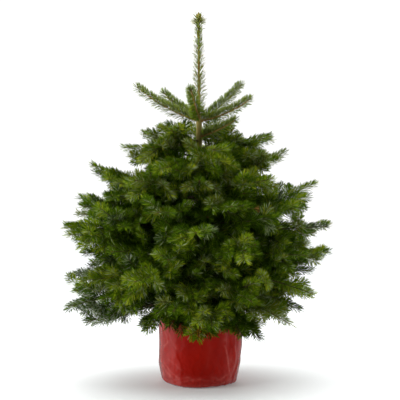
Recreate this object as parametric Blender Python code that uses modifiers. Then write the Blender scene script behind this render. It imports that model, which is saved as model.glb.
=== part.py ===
"""A potted Nordmann fir: a young tree in a nursery pot that is wrapped in red film.

Metres, +Z up. The origin is the centre of the flat underside that it stands on.
A bearing is an angle seen from above: 0 is +X, 90 is +Y.
"""

import math
import random

import bmesh
import bpy
from mathutils import Matrix, Vector
from mathutils.bvhtree import BVHTree

SEED = 11
CLEARANCE = 0.0003
SHARP_ANGLE = 40.0
UP = Vector((0.0, 0.0, 1.0))

# Trunk: radii in metres at named heights
TRUNK_FOOT = Vector((-0.003, 0.0, 0.190))
TRUNK_TIP = Vector((-0.0055, 0.0, 1.010))
TRUNK_SIDES = 8
TRUNK_STATIONS = 14
TRUNK_RADIUS = 0.0145
FLARE_RADIUS = 0.0085
FLARE_HEIGHT = 0.018
TOP_TIER_HEIGHT = 0.729
TOP_TIER_RADIUS = 0.0078
LEADER_FOOT_HEIGHT = 0.748
LEADER_RADIUS = 0.0042
LEADER_TIP_RADIUS = 0.0026

# Each tier is one whorl of boughs: its height, its age in years, and for each bough
# (bearing, length, rise at the trunk, rise at the tip), in degrees and metres.
TIERS = (
    (0.729, 1, (
        (36, 0.198, 28, 44),
        (138, 0.152, 20, 42),
        (178, 0.200, 17, 41),
        (263, 0.160, 16, 26),
        (330, 0.172, 5, 28),
    )),
    (0.685, 1, (
        (318, 0.128, 8, 26),
    )),
    (0.640, 2, (
        (12, 0.206, 5, 17),
        (58, 0.175, 16, 30),
        (128, 0.185, 18, 34),
        (188, 0.205, -4, 6),
        (282, 0.170, -8, 6),
    )),
    (0.547, 3, (
        (26, 0.300, 12, 26),
        (112, 0.270, 10, 20),
        (176, 0.314, -13, 31),
        (236, 0.265, -4, 6),
        (312, 0.265, -4, 10),
    )),
    (0.430, 4, (
        (348, 0.350, -3, 5),
        (18, 0.372, 13, 23),
        (90, 0.330, 4, 10),
        (162, 0.377, 5, 17),
        (200, 0.374, -4, 6),
        (268, 0.320, -6, 2),
    )),
    (0.335, 5, (
        (12, 0.384, 0, 7),
        (98, 0.345, -2, 4),
        (169, 0.388, -8, -7),
        (240, 0.340, -8, -4),
        (323, 0.355, -6, -15),
    )),
    (0.262, 5, (
        (342, 0.284, 0, -17),
        (48, 0.315, 0, -16),
        (124, 0.325, 0, -16),
        (194, 0.364, -2, -12),
        (278, 0.275, 8, -34),
    )),
)

# Boughs and the shoots that branch from them
PATH_STEPS = 10
WHORL_STAGGER = 0.004
MOST_SWEEP = 6.0
MOST_ROLL = 40.0
BARE_SHARE = 0.9
MOST_BARE = 0.30
SHORTEST_LIMB = 0.055
ROOT_SHARE = 0.9
LIMB_RADIUS_AT_BIRTH = 0.0022
LIMB_RADIUS_A_YEAR = 0.0006
LIMB_TIP_RADIUS = 0.0011
BOUGH_SIDES = 6
BOUGH_STATIONS = 4
TWIG_SIDES = 3
SIDE_SHARE = (0.58, 0.76)
SIDE_ANGLE = (46.0, 58.0)
SIDE_TURN_BACK = 14.0
SIDE_RISE = (12.0, 24.0)
SIDE_SINK = (-36.0, -20.0)
SIDE_LEVELLING = 0.5
SIDE_ROLL = (25.0, 60.0)
SHORTEST_SIDE = 0.060
SECTOR_MARGIN = 3.0
TRIAL_SHARES = (1.0, 0.88, 0.76, 0.64, 0.52, 0.42)

# Sprays of needles: toothed blades, folded up to both sides of their rib
NEEDLE = 0.034
NEEDLE_SPACING = 0.032
NEEDLE_LEAN = (56.0, 36.0)
NEEDLE_SHORTEST = 0.72
NEEDLE_SWELL = (0.25, 0.9)
TIP_NEEDLE_SHARE = 0.5
RIGHT_SIDE_SHIFT = 0.4
RIB = 0.0024
RIB_AT_TIP = 0.0014
BLADE_THICKNESS = 0.0022
SIDE_BLADE_THICKNESS = 0.0018
FOLD = 32.0
SPRAY_START = 0.008
SIDE_SPRAY_START = 0.030
STEM_END = 0.50
STEM_STATIONS = 3
STEM_OVERLAP = 0.012

# Leader: the top shoot, whose needles stand on a sleeve round the trunk
SLEEVE_WALL = 0.0014
LEADER_NEEDLE = 0.025
LEADER_NEEDLE_RADIUS = 0.0026
LEADER_NEEDLES = 52
LEADER_STAR = 7
LEADER_STATIONS = 4
LEADER_NEEDLE_LEAN = 36.0
LEADER_TIP_LEAN = 62.0
LEADER_CROWN = 0.018
GOLDEN_ANGLE = 137.508

# Pot, soil and film
POT_STEPS = 36
MERGE_DISTANCE = 0.00001
WRAP_THICKNESS = 0.0010
WRAP_PROFILE = (
    (0.1165, 0.2180),
    (0.1168, 0.1850),
    (0.1166, 0.1500),
    (0.1152, 0.1000),
    (0.1128, 0.0570),
    (0.1090, 0.0280),
    (0.1030, 0.0070),
    (0.0960, 0.0000),
    (0.0000, 0.0000),
)
WRAP_SLUMP = 0.0030
WRAP_SLUMP_HEIGHT = 0.052
WRAP_SLUMP_SPREAD = 0.035
WRAP_SLUMP_BEARING = 178.0
WRAP_FOLDS = 9
WRAP_FOLD_DEPTH = 0.0007
WRAP_FOLD_TWIST = 14.0
POT_FOOT_RADIUS = 0.0935
POT_WALL_FOOT_RADIUS = 0.0990
POT_RIM_RADIUS = 0.1120
POT_RIM_DEPTH = 0.014
POT_RIM_LIP = 0.0022
POT_WALL = 0.0018
POT_BASE_HEIGHT = 0.0016
POT_BEND_HEIGHT = 0.0120
POT_HEIGHT = 0.2090
SOIL_EDGE_HEIGHT = 0.1840
SOIL_TOP_HEIGHT = TRUNK_FOOT.z - CLEARANCE
SOIL_TOP_RADIUS = 0.030
SOIL_SHOULDER_RADIUS = 0.070
SOIL_BEND_RISE = 0.0007

COLOURS = {
    "bark": ((0.115, 0.082, 0.045, 1.0), 0.85),
    "needles": ((0.060, 0.120, 0.010, 1.0), 0.50),
    "young_needles": ((0.170, 0.220, 0.035, 1.0), 0.50),
    "red_film": ((0.290, 0.005, 0.001, 1.0), 0.10),
    "pot_plastic": ((0.012, 0.012, 0.012, 1.0), 0.50),
    "soil": ((0.030, 0.018, 0.010, 1.0), 0.95),
}


class Path:
    """A limb's centre line. It sets out along a heading, and turns and lifts evenly over its length."""

    def __init__(self, start, heading, up, length, turn=0.0, lift=0.0):
        self.length = length
        heading = heading.normalized()
        side = up.cross(heading).normalized()
        point = start.copy()
        turn_a_step = math.radians(turn) / PATH_STEPS
        lift_a_step = math.radians(lift) / PATH_STEPS
        self.frames = []
        for _ in range(PATH_STEPS + 1):
            up = heading.cross(side)
            self.frames.append((point.copy(), heading.copy(), side.copy(), up.copy()))
            bend = Matrix.Rotation(turn_a_step, 3, up) @ Matrix.Rotation(-lift_a_step, 3, side)
            heading = (bend @ heading).normalized()
            side = (bend @ side).normalized()
            point = point + heading * (length / PATH_STEPS)

    def frame_at(self, distance):
        """Point, heading, side and up at a distance from the start, straight on past either end."""
        place = distance / self.length * PATH_STEPS
        first = min(max(int(place), 0), PATH_STEPS - 1)
        share = place - first
        point = self.frames[first][0].lerp(self.frames[first + 1][0], share)
        share = min(max(share, 0.0), 1.0)
        axes = [
            self.frames[first][i].lerp(self.frames[first + 1][i], share).normalized()
            for i in (1, 2, 3)
        ]
        return (point, *axes)

    def tip(self):
        return self.frames[-1][0]


def direction(bearing, rise):
    """The unit vector of a bearing and a rise above the horizon, in degrees."""
    b, r = math.radians(bearing), math.radians(rise)
    return Vector((math.cos(r) * math.cos(b), math.cos(r) * math.sin(b), math.sin(r)))


def mix(a, b, share):
    return a + (b - a) * share


def trunk_centre(height):
    share = (height - TRUNK_FOOT.z) / (TRUNK_TIP.z - TRUNK_FOOT.z)
    return TRUNK_FOOT.lerp(TRUNK_TIP, share)


def trunk_radius(height):
    """The trunk's radius: flared at the foot, tapering to the top tier, then the thin leader."""
    if height >= LEADER_FOOT_HEIGHT:
        share = (height - LEADER_FOOT_HEIGHT) / (TRUNK_TIP.z - LEADER_FOOT_HEIGHT)
        return mix(LEADER_RADIUS, LEADER_TIP_RADIUS, share)
    if height >= TOP_TIER_HEIGHT:
        share = (height - TOP_TIER_HEIGHT) / (LEADER_FOOT_HEIGHT - TOP_TIER_HEIGHT)
        return mix(TOP_TIER_RADIUS, LEADER_RADIUS, share)
    above = height - TRUNK_FOOT.z
    share = above / (TOP_TIER_HEIGHT - TRUNK_FOOT.z)
    flare = FLARE_RADIUS * math.exp(-above / FLARE_HEIGHT)
    return mix(TRUNK_RADIUS, TOP_TIER_RADIUS, share) + flare


def limb_radius(years, share):
    """A limb's radius at a share of its length."""
    return mix(LIMB_RADIUS_AT_BIRTH + LIMB_RADIUS_A_YEAR * years, LIMB_TIP_RADIUS, share)


class Bough:
    """One limb of a tier, with the side shoots that branch from it in its own sector of the crown."""

    def __init__(self, tier, index):
        height, self.years, rows = TIERS[tier]
        self.height = height + (WHORL_STAGGER if index % 2 else -WHORL_STAGGER)
        self.bearing, self.length, rise, tip_rise = rows[index]
        self.name = f"{tier + 1}{chr(ord('a') + index)}"
        self.random = random.Random(SEED * 1000 + tier * 10 + index)
        self.first_rise = index % 2
        self.sector = self.find_sector([row[0] for row in rows], index)
        heading = direction(self.bearing, rise)
        roll = math.radians(self.random.uniform(-MOST_ROLL, MOST_ROLL) / self.years)
        self.path = Path(
            trunk_centre(self.height),
            heading,
            Matrix.Rotation(roll, 3, heading) @ UP,
            self.length,
            turn=self.random.uniform(-MOST_SWEEP, MOST_SWEEP),
            lift=tip_rise - rise,
        )
        bare = self.length * min(BARE_SHARE / self.years, MOST_BARE)
        self.has_limb = self.years > 1 and bare >= SHORTEST_LIMB
        if self.has_limb:
            self.mass_start = bare + CLEARANCE
        else:
            self.mass_start = ROOT_SHARE * trunk_radius(self.height) / math.cos(math.radians(rise))
        self.sides = list(self.grow_sides())

    @staticmethod
    def find_sector(bearings, index):
        """How far the sector reaches right and left of the bough, in degrees: half way to each neighbour."""
        count = len(bearings)
        if count == 1:
            return 180.0, 180.0
        right = (bearings[index] - bearings[index - 1]) % 360
        left = (bearings[(index + 1) % count] - bearings[index]) % 360
        return right / 2 - SECTOR_MARGIN, left / 2 - SECTOR_MARGIN

    def in_sector(self, point):
        away = point - trunk_centre(point.z)
        turned = math.degrees(math.atan2(away.y, away.x)) - self.bearing
        turned = (turned + 180) % 360 - 180
        return -self.sector[0] < turned < self.sector[1]

    def grow_sides(self):
        """A pair of side shoots at each year's node: by turns one rises while the other sinks."""
        for year in range(1, self.years):
            node = self.length * year / self.years
            start, heading, _, up = self.path.frame_at(node)
            for hand in (1, -1):
                rises = (year % 2 == self.first_rise) == (hand == 1)
                share = self.random.uniform(*SIDE_SHARE)
                angle = self.random.uniform(*SIDE_ANGLE) * hand
                tilt = math.radians(self.random.uniform(*(SIDE_RISE if rises else SIDE_SINK)))
                roll = math.radians(self.random.uniform(*SIDE_ROLL) * (hand if rises else -hand))
                length = (self.length - node) * share
                if length < SHORTEST_SIDE:
                    continue
                level = Matrix.Rotation(math.radians(angle), 3, up) @ heading
                side_heading = level * math.cos(tilt) + up * math.sin(tilt)
                across = up.cross(side_heading).normalized()
                side_up = Matrix.Rotation(roll, 3, side_heading) @ side_heading.cross(across)
                lift = -SIDE_LEVELLING * math.degrees(tilt)
                for trial in TRIAL_SHARES:
                    path = Path(
                        start, side_heading, side_up, length * trial, -SIDE_TURN_BACK * hand, lift
                    )
                    if path.length >= SHORTEST_SIDE and self.in_sector(path.tip()):
                        yield path
                        break


def all_boughs():
    return [Bough(t, i) for t, tier in enumerate(TIERS) for i in range(len(tier[2]))]


def clear_scene():
    for obj in list(bpy.data.objects):
        bpy.data.objects.remove(obj, do_unlink=True)


def new_collection(name):
    collection = bpy.data.collections.new(name)
    bpy.context.scene.collection.children.link(collection)
    return collection


def new_material(name):
    colour, roughness = COLOURS[name]
    material = bpy.data.materials.new(name)
    material.use_nodes = True
    shader = material.node_tree.nodes["Principled BSDF"]
    shader.inputs["Base Color"].default_value = colour
    shader.inputs["Roughness"].default_value = roughness
    shader.inputs["Metallic"].default_value = 0.0
    material.diffuse_color = colour
    return material


def new_object(name, mesh, collection, material=None):
    obj = bpy.data.objects.new(name, mesh)
    collection.objects.link(obj)
    if material:
        mesh.materials.clear()
        mesh.materials.append(material)
    return obj


def shade_round(obj):
    obj.data.shade_smooth()
    obj.data.set_sharp_from_angle(angle=math.radians(SHARP_ANGLE))


def closed_mesh(bm, name):
    """A mesh from the bmesh, its faces turned outwards."""
    bmesh.ops.recalc_face_normals(bm, faces=bm.faces[:])
    if bm.calc_volume(signed=True) < 0:
        bmesh.ops.reverse_faces(bm, faces=bm.faces[:])
    mesh = bpy.data.meshes.new(name)
    bm.to_mesh(mesh)
    bm.free()
    return mesh


def limb_mesh(path, start, end, radius, sides, stations):
    """A closed tapering limb: a cylinder cut into stations and bent along a path."""
    bm = bmesh.new()
    bmesh.ops.create_cone(
        bm, cap_ends=True, segments=sides, radius1=1.0, radius2=1.0, depth=1.0
    )
    for k in range(1, stations):
        bmesh.ops.bisect_plane(
            bm,
            geom=bm.verts[:] + bm.edges[:] + bm.faces[:],
            plane_co=(0.0, 0.0, k / stations - 0.5),
            plane_no=(0.0, 0.0, 1.0),
        )
    for vert in bm.verts:
        distance = mix(start, end, vert.co.z + 0.5)
        point, _, side, up = path.frame_at(distance)
        r = radius(distance)
        vert.co = point + side * (vert.co.y * r) + up * (vert.co.x * r)
    return closed_mesh(bm, "limb")


def tooth_points(length, start, rib, shift):
    """One side of a toothed outline, from the base to just short of the tip: notch, needle tip, notch."""
    count = max(2, round((length - start) / NEEDLE_SPACING))
    spacing = (length - start) / count
    points = []
    for k in range(count):
        share = k / count
        notch = start + k * spacing + (shift * spacing if k else 0.0)
        lean = math.radians(mix(*NEEDLE_LEAN, share))
        swell = math.sin(math.pi * min(share + NEEDLE_SWELL[0], NEEDLE_SWELL[1]))
        needle = NEEDLE * mix(NEEDLE_SHORTEST, 1.0, swell)
        points.append((notch, rib(notch)))
        points.append((
            notch + spacing * 0.5 + needle * math.cos(lean),
            rib(notch) + needle * math.sin(lean),
        ))
    return points


def blade_mesh(path, start, thickness, bare):
    """A spray of needles: one flat toothed outline, bent along its path and folded up to both sides."""
    length = path.length

    def rib(distance):
        return mix(RIB, RIB_AT_TIP, min(max(distance / length, 0.0), 1.0))

    left = tooth_points(length, start + bare, rib, 0.0)
    right = tooth_points(length, start + bare, rib, RIGHT_SIDE_SHIFT)
    outline = [(start, rib(start)), *left, (length, RIB_AT_TIP), (length + NEEDLE * TIP_NEEDLE_SHARE, 0.0)]
    outline += [(x, -y) for x, y in reversed([*right, (length, RIB_AT_TIP)])]
    outline.append((start, -rib(start)))

    bm = slab(outline, thickness)
    lift = math.tan(math.radians(FOLD))
    for vert in bm.verts:
        x, y, z = vert.co
        raised = z + max(abs(y) - rib(x), 0.0) * lift
        point, _, side, up = path.frame_at(x)
        vert.co = point + side * y + up * raised
    return closed_mesh(bm, "spray")


def slab(outline, thickness):
    """A flat closed slab with this outline."""
    bm = bmesh.new()
    face = bm.faces.new([bm.verts.new((x, y, -thickness / 2)) for x, y in outline])
    bmesh.ops.triangulate(bm, faces=[face], ngon_method="EAR_CLIP")
    grown = bmesh.ops.extrude_face_region(bm, geom=bm.faces[:])
    raised = [part for part in grown["geom"] if isinstance(part, bmesh.types.BMVert)]
    bmesh.ops.translate(bm, verts=raised, vec=(0.0, 0.0, thickness))
    bmesh.ops.triangulate(bm, faces=bm.faces[:])
    return bm


def needle_mesh(point, heading, length, radius):
    """One stout three-sided needle, its root at the point."""
    bm = bmesh.new()
    bmesh.ops.create_cone(
        bm, cap_ends=True, segments=3, radius1=radius, radius2=0.0, depth=length
    )
    turn = heading.to_track_quat("Z", "Y").to_matrix().to_4x4()
    place = Matrix.Translation(point) @ turn @ Matrix.Translation((0.0, 0.0, length / 2))
    bmesh.ops.transform(bm, matrix=place, verts=bm.verts[:])
    return closed_mesh(bm, "needle")


def apply_modifiers(obj):
    bpy.context.view_layer.update()
    graph = bpy.context.evaluated_depsgraph_get()
    mesh = bpy.data.meshes.new_from_object(obj.evaluated_get(graph))
    obj.modifiers.clear()
    obj.data = mesh


def join(obj, meshes):
    """Joins meshes to an object's own by one Boolean union, and removes the pieces.

    The exact solver loses folded sprays, so this one and the cuts on masses use the manifold solver.
    """
    pieces = new_collection("pieces")
    for mesh in meshes:
        new_object("piece", mesh, pieces)
    union = obj.modifiers.new("join", "BOOLEAN")
    union.operation = "UNION"
    union.operand_type = "COLLECTION"
    union.collection = pieces
    union.solver = "MANIFOLD"
    apply_modifiers(obj)
    for piece in list(pieces.objects):
        bpy.data.objects.remove(piece, do_unlink=True)
    bpy.data.collections.remove(pieces)


def cut(obj, cutter, solver="EXACT"):
    difference = obj.modifiers.new("cut", "BOOLEAN")
    difference.operation = "DIFFERENCE"
    difference.object = cutter
    difference.solver = solver
    apply_modifiers(obj)


def bvh_of(mesh):
    mesh.calc_loop_triangles()
    return BVHTree.FromPolygons(
        [v.co.copy() for v in mesh.vertices],
        [tuple(t.vertices) for t in mesh.loop_triangles],
    )


class Space:
    """What each mass may not touch: the trees of everything that is placed and isn't its own."""

    def __init__(self):
        self.placed = []

    def add(self, owner, mesh):
        self.placed.append((owner, bvh_of(mesh)))

    def is_free(self, owner, mesh):
        tree = bvh_of(mesh)
        return not any(
            tree.overlap(other) for name, other in self.placed if name != owner
        )


def turned_mesh(profile, steps):
    """A mesh turned round +Z from a profile that runs down its outer side."""
    mesh = bpy.data.meshes.new("turned")
    bm = bmesh.new()
    verts = [bm.verts.new((r, 0.0, z)) for r, z in profile]
    for a, b in zip(verts, verts[1:]):
        bm.edges.new((a, b))
    bm.to_mesh(mesh)
    bm.free()
    helper = bpy.data.objects.new("helper", mesh)
    bpy.context.scene.collection.objects.link(helper)
    screw = helper.modifiers.new("turn", "SCREW")
    screw.steps = steps
    screw.render_steps = steps
    screw.use_merge_vertices = True
    screw.merge_threshold = MERGE_DISTANCE
    apply_modifiers(helper)
    made = helper.data
    bpy.data.objects.remove(helper)
    return made


def wrap_offset(bearing, height):
    """How far the film stands out from its turned profile: its folds, and its slump to one side."""
    away = math.radians(bearing - WRAP_SLUMP_BEARING)
    near = math.exp(-(((height - WRAP_SLUMP_HEIGHT) / WRAP_SLUMP_SPREAD) ** 2))
    folds = math.sin(math.radians(bearing) * WRAP_FOLDS + WRAP_FOLD_TWIST * height)
    return WRAP_SLUMP * near * math.cos(away) + WRAP_FOLD_DEPTH * folds


def build_wrap(collection, material):
    mesh = turned_mesh(WRAP_PROFILE, POT_STEPS)
    for vert in mesh.vertices:
        if vert.co.z < CLEARANCE:
            continue
        bearing = math.degrees(math.atan2(vert.co.y, vert.co.x))
        out = Vector((vert.co.x, vert.co.y, 0.0)).normalized()
        vert.co += out * wrap_offset(bearing, vert.co.z)
    obj = new_object("film_wrap", mesh, collection, material)
    solidify = obj.modifiers.new("film", "SOLIDIFY")
    solidify.thickness = WRAP_THICKNESS
    solidify.offset = -1.0
    solidify.use_even_offset = True
    shade_round(obj)
    return obj


def build_pot(collection, material):
    top, lip = POT_HEIGHT, POT_RIM_LIP
    profile = (
        (POT_RIM_RADIUS - lip - POT_WALL, top),
        (POT_RIM_RADIUS, top),
        (POT_RIM_RADIUS, top - POT_RIM_DEPTH),
        (POT_RIM_RADIUS - lip, top - POT_RIM_DEPTH),
        (POT_WALL_FOOT_RADIUS, POT_BEND_HEIGHT),
        (POT_FOOT_RADIUS, POT_BASE_HEIGHT),
        (0.0, POT_BASE_HEIGHT),
        (0.0, POT_BASE_HEIGHT + POT_WALL),
        (POT_FOOT_RADIUS - POT_WALL, POT_BASE_HEIGHT + POT_WALL),
        (POT_WALL_FOOT_RADIUS - POT_WALL, POT_BEND_HEIGHT + POT_WALL),
        (POT_RIM_RADIUS - lip - POT_WALL, top),
    )
    obj = new_object("nursery_pot", turned_mesh(profile, POT_STEPS), collection, material)
    shade_round(obj)
    return obj


def build_soil(collection, material):
    wall_top = POT_RIM_RADIUS - POT_RIM_LIP - POT_WALL
    wall_foot = POT_WALL_FOOT_RADIUS - POT_WALL
    bend = POT_BEND_HEIGHT + POT_WALL
    share = (SOIL_EDGE_HEIGHT - bend) / (POT_HEIGHT - bend)
    gap = 2 * CLEARANCE
    profile = (
        (0.0, SOIL_TOP_HEIGHT),
        (SOIL_TOP_RADIUS, SOIL_TOP_HEIGHT),
        (SOIL_SHOULDER_RADIUS, mix(SOIL_TOP_HEIGHT, SOIL_EDGE_HEIGHT, 0.5)),
        (mix(wall_foot, wall_top, share) - gap, SOIL_EDGE_HEIGHT),
        (wall_foot - gap, bend + SOIL_BEND_RISE),
        (POT_FOOT_RADIUS - POT_WALL - gap, POT_BASE_HEIGHT + POT_WALL + CLEARANCE),
        (0.0, POT_BASE_HEIGHT + POT_WALL + CLEARANCE),
    )
    obj = new_object("soil", turned_mesh(profile, POT_STEPS), collection, material)
    shade_round(obj)
    return obj


def trunk_path():
    along = TRUNK_TIP - TRUNK_FOOT
    return Path(TRUNK_FOOT, along, Vector((0.0, 1.0, 0.0)), along.length)


def trunk_mesh(extra=0.0, past_ends=0.0):
    """The trunk, or with extra radius and length the cutter that keeps what meets it clear."""
    path = trunk_path()
    return limb_mesh(
        path,
        -past_ends,
        path.length + past_ends,
        lambda distance: trunk_radius(TRUNK_FOOT.z + distance) + extra,
        TRUNK_SIDES,
        TRUNK_STATIONS,
    )


def keep_one_body(obj):
    """Keeps the outer skin of the biggest body: a sealed hollow is filled, and loose scrap is dropped."""
    bm = bmesh.new()
    bm.from_mesh(obj.data)
    bodies = []
    unseen = set(bm.faces)
    while unseen:
        reached = [unseen.pop()]
        for face in reached:
            for edge in face.edges:
                for other in edge.link_faces:
                    if other in unseen:
                        unseen.discard(other)
                        reached.append(other)
        bodies.append(reached)
    bodies.sort(key=len)
    extra = [face for body in bodies[:-1] for face in body]
    bmesh.ops.delete(bm, geom=extra, context="FACES")
    bm.to_mesh(obj.data)
    bm.free()


def build_limb(bough, collection, material, cutter):
    """A bough from the trunk's surface to where it enters its mass."""
    mesh = limb_mesh(
        bough.path,
        0.0,
        bough.mass_start - CLEARANCE,
        lambda distance: limb_radius(bough.years, distance / bough.length),
        BOUGH_SIDES,
        BOUGH_STATIONS,
    )
    obj = new_object(f"bough_{bough.name}", mesh, collection, material)
    cut(obj, cutter)
    shade_round(obj)
    return obj


def stem_mesh(bough):
    """The mass's stem, which carries its side shoots."""
    return limb_mesh(
        bough.path,
        bough.mass_start,
        mix(bough.mass_start, bough.length, STEM_END),
        lambda distance: limb_radius(bough.years, distance / bough.length),
        TWIG_SIDES,
        STEM_STATIONS,
    )


def build_mass(bough, collection, materials, cutter, space):
    """One mass of foliage: its stem, the spray along it, and the side shoots that have room."""
    name = f"foliage_{bough.name}"
    needles = materials["young_needles" if bough.years == 1 else "needles"]
    obj = new_object(name, stem_mesh(bough), collection, needles)
    space.add(name, obj.data)
    start = mix(bough.mass_start, bough.length, STEM_END) - STEM_OVERLAP
    sprays = [blade_mesh(bough.path, start, BLADE_THICKNESS, SPRAY_START)]
    sprays += [
        blade_mesh(path, 0.0, SIDE_BLADE_THICKNESS, SIDE_SPRAY_START) for path in bough.sides
    ]
    kept = []
    for spray in sprays:
        if space.is_free(name, spray):
            space.add(name, spray)
            kept.append(spray)
    join(obj, kept)
    if not bough.has_limb:
        cut(obj, cutter, "MANIFOLD")
    keep_one_body(obj)
    return obj


def build_leader(collection, material, cutter):
    """The top shoot's foliage: a sleeve over the trunk's thin top, and needles all round it."""
    path = trunk_path()
    foot = LEADER_FOOT_HEIGHT - TRUNK_FOOT.z
    length = path.length - foot
    sleeve = limb_mesh(
        path,
        foot,
        path.length + LEADER_CROWN,
        lambda distance: trunk_radius(TRUNK_FOOT.z + distance) + SLEEVE_WALL,
        TRUNK_SIDES,
        LEADER_STATIONS,
    )
    obj = new_object("foliage_leader", sleeve, collection, material)
    needles = []
    for k in range(LEADER_NEEDLES):
        share = (k + 0.5) / LEADER_NEEDLES
        point, heading, side, _ = path.frame_at(foot + length * share)
        lean = LEADER_NEEDLE_LEAN if k < LEADER_NEEDLES - LEADER_STAR else LEADER_TIP_LEAN
        out = Matrix.Rotation(math.radians(GOLDEN_ANGLE * k), 3, heading) @ side
        tilt = math.radians(lean)
        needle_heading = heading * math.cos(tilt) + out * math.sin(tilt)
        root = trunk_radius(point.z)
        needles.append(
            needle_mesh(point + out * root, needle_heading, LEADER_NEEDLE, LEADER_NEEDLE_RADIUS)
        )
    join(obj, needles)
    cut(obj, cutter, "MANIFOLD")
    keep_one_body(obj)
    return obj


def main():
    clear_scene()
    tree = new_collection("potted_nordmann_fir")
    helpers = new_collection("helpers")
    helpers.hide_render = True
    materials = {name: new_material(name) for name in COLOURS}
    wrap = build_wrap(tree, materials["red_film"])
    build_pot(tree, materials["pot_plastic"])
    build_soil(tree, materials["soil"])
    trunk = new_object("trunk", trunk_mesh(), tree, materials["bark"])
    shade_round(trunk)
    cutter = new_object("trunk_clearance", trunk_mesh(CLEARANCE, CLEARANCE), helpers)
    cutter.hide_render = True
    cutter.display_type = "WIRE"

    boughs = all_boughs()
    space = Space()
    space.add(wrap.name, wrap.data)
    leader = build_leader(tree, materials["young_needles"], cutter)
    space.add(leader.name, leader.data)
    for bough in boughs:
        if bough.has_limb:
            limb = build_limb(bough, tree, materials["bark"], cutter)
            space.add(limb.name, limb.data)
    for bough in boughs:
        build_mass(bough, tree, materials, cutter, space)


if __name__ == "__main__":
    main()
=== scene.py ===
"""The potted Nordmann fir as it looks: needles, twigs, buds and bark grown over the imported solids.

Metres, +Z up, in the frame of the solids. A bearing is an angle seen from above: 0 is +X, 90 is +Y.
"""

import math
import random

import bpy
import numpy as np
from mathutils import Matrix, Vector, noise


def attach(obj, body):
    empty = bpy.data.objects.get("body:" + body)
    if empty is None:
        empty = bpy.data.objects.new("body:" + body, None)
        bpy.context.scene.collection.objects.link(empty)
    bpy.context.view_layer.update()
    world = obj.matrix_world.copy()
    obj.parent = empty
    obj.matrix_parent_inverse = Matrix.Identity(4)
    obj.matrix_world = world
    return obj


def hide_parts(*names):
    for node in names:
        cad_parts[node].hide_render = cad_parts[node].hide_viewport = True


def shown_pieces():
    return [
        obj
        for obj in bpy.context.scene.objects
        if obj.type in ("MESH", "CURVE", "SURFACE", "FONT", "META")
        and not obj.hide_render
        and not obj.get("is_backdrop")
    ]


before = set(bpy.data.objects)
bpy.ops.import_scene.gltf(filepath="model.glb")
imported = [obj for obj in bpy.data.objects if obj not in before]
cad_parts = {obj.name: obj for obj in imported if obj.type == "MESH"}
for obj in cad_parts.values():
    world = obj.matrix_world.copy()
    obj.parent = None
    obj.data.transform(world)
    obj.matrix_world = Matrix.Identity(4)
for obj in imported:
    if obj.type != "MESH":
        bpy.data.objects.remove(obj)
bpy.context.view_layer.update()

# The growth rule, as in the part's source
SEED = 11
BOUGH_SEEDS = SEED * 1000
BOUGH_SEEDS_A_TIER = 10
UP = Vector((0.0, 0.0, 1.0))
TRUNK_FOOT = Vector((-0.003, 0.0, 0.190))
TRUNK_TIP = Vector((-0.0055, 0.0, 1.010))
TRUNK_RADIUS = 0.0145
FLARE_RADIUS = 0.0085
FLARE_HEIGHT = 0.018
TOP_TIER_HEIGHT = 0.729
TOP_TIER_RADIUS = 0.0078
LEADER_FOOT_HEIGHT = 0.748
LEADER_GREEN_HEIGHT = 0.895
LEADER_RADIUS = 0.0042
LEADER_TIP_RADIUS = 0.0026

# Each tier is one whorl of boughs: its height, its age in years, and for each bough
# (bearing, length, rise at the trunk, rise at the tip), in degrees and metres.
TIERS = (
    (0.729, 1, (
        (36, 0.198, 28, 44),
        (138, 0.152, 20, 42),
        (178, 0.200, 17, 41),
        (263, 0.160, 16, 26),
        (330, 0.172, 5, 28),
    )),
    (0.685, 1, (
        (318, 0.128, 8, 26),
    )),
    (0.640, 2, (
        (12, 0.206, 5, 17),
        (58, 0.175, 16, 30),
        (128, 0.185, 18, 34),
        (188, 0.205, -4, 6),
        (282, 0.170, -8, 6),
    )),
    (0.547, 3, (
        (26, 0.300, 12, 26),
        (112, 0.270, 10, 20),
        (176, 0.314, -13, 31),
        (236, 0.265, -4, 6),
        (312, 0.265, -4, 10),
    )),
    (0.430, 4, (
        (348, 0.350, -3, 5),
        (18, 0.372, 13, 23),
        (90, 0.330, 4, 10),
        (162, 0.377, 5, 17),
        (200, 0.374, -4, 6),
        (268, 0.320, -6, 2),
    )),
    (0.335, 5, (
        (12, 0.384, 0, 7),
        (98, 0.345, -2, 4),
        (169, 0.388, -8, -7),
        (240, 0.340, -8, -4),
        (323, 0.355, -6, -15),
    )),
    (0.262, 5, (
        (342, 0.284, 0, -17),
        (48, 0.315, 0, -16),
        (124, 0.325, 0, -16),
        (194, 0.364, -2, -12),
        (278, 0.275, 8, -34),
    )),
)

PATH_STEPS = 10
LEAST_LENGTH = 1e-12
WHORL_STAGGER = 0.004
MOST_SWEEP = 6.0
MOST_ROLL = 40.0
BARE_SHARE = 0.9
MOST_BARE = 0.30
LIMB_RADIUS_AT_BIRTH = 0.0022
LIMB_RADIUS_A_YEAR = 0.0006
LIMB_TIP_RADIUS = 0.0011
SIDE_SHARE = (0.58, 0.76)
SIDE_ANGLE = (46.0, 58.0)
SIDE_TURN_BACK = 14.0
SIDE_RISE = (12.0, 24.0)
SIDE_SINK = (-36.0, -20.0)
SIDE_LEVELLING = 0.5
SIDE_ROLL = (25.0, 60.0)
SHORTEST_SIDE = 0.060
SECTOR_MARGIN = 3.0
TRIAL_SHARES = (1.0, 0.88, 0.76, 0.64, 0.52, 0.42)

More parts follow.
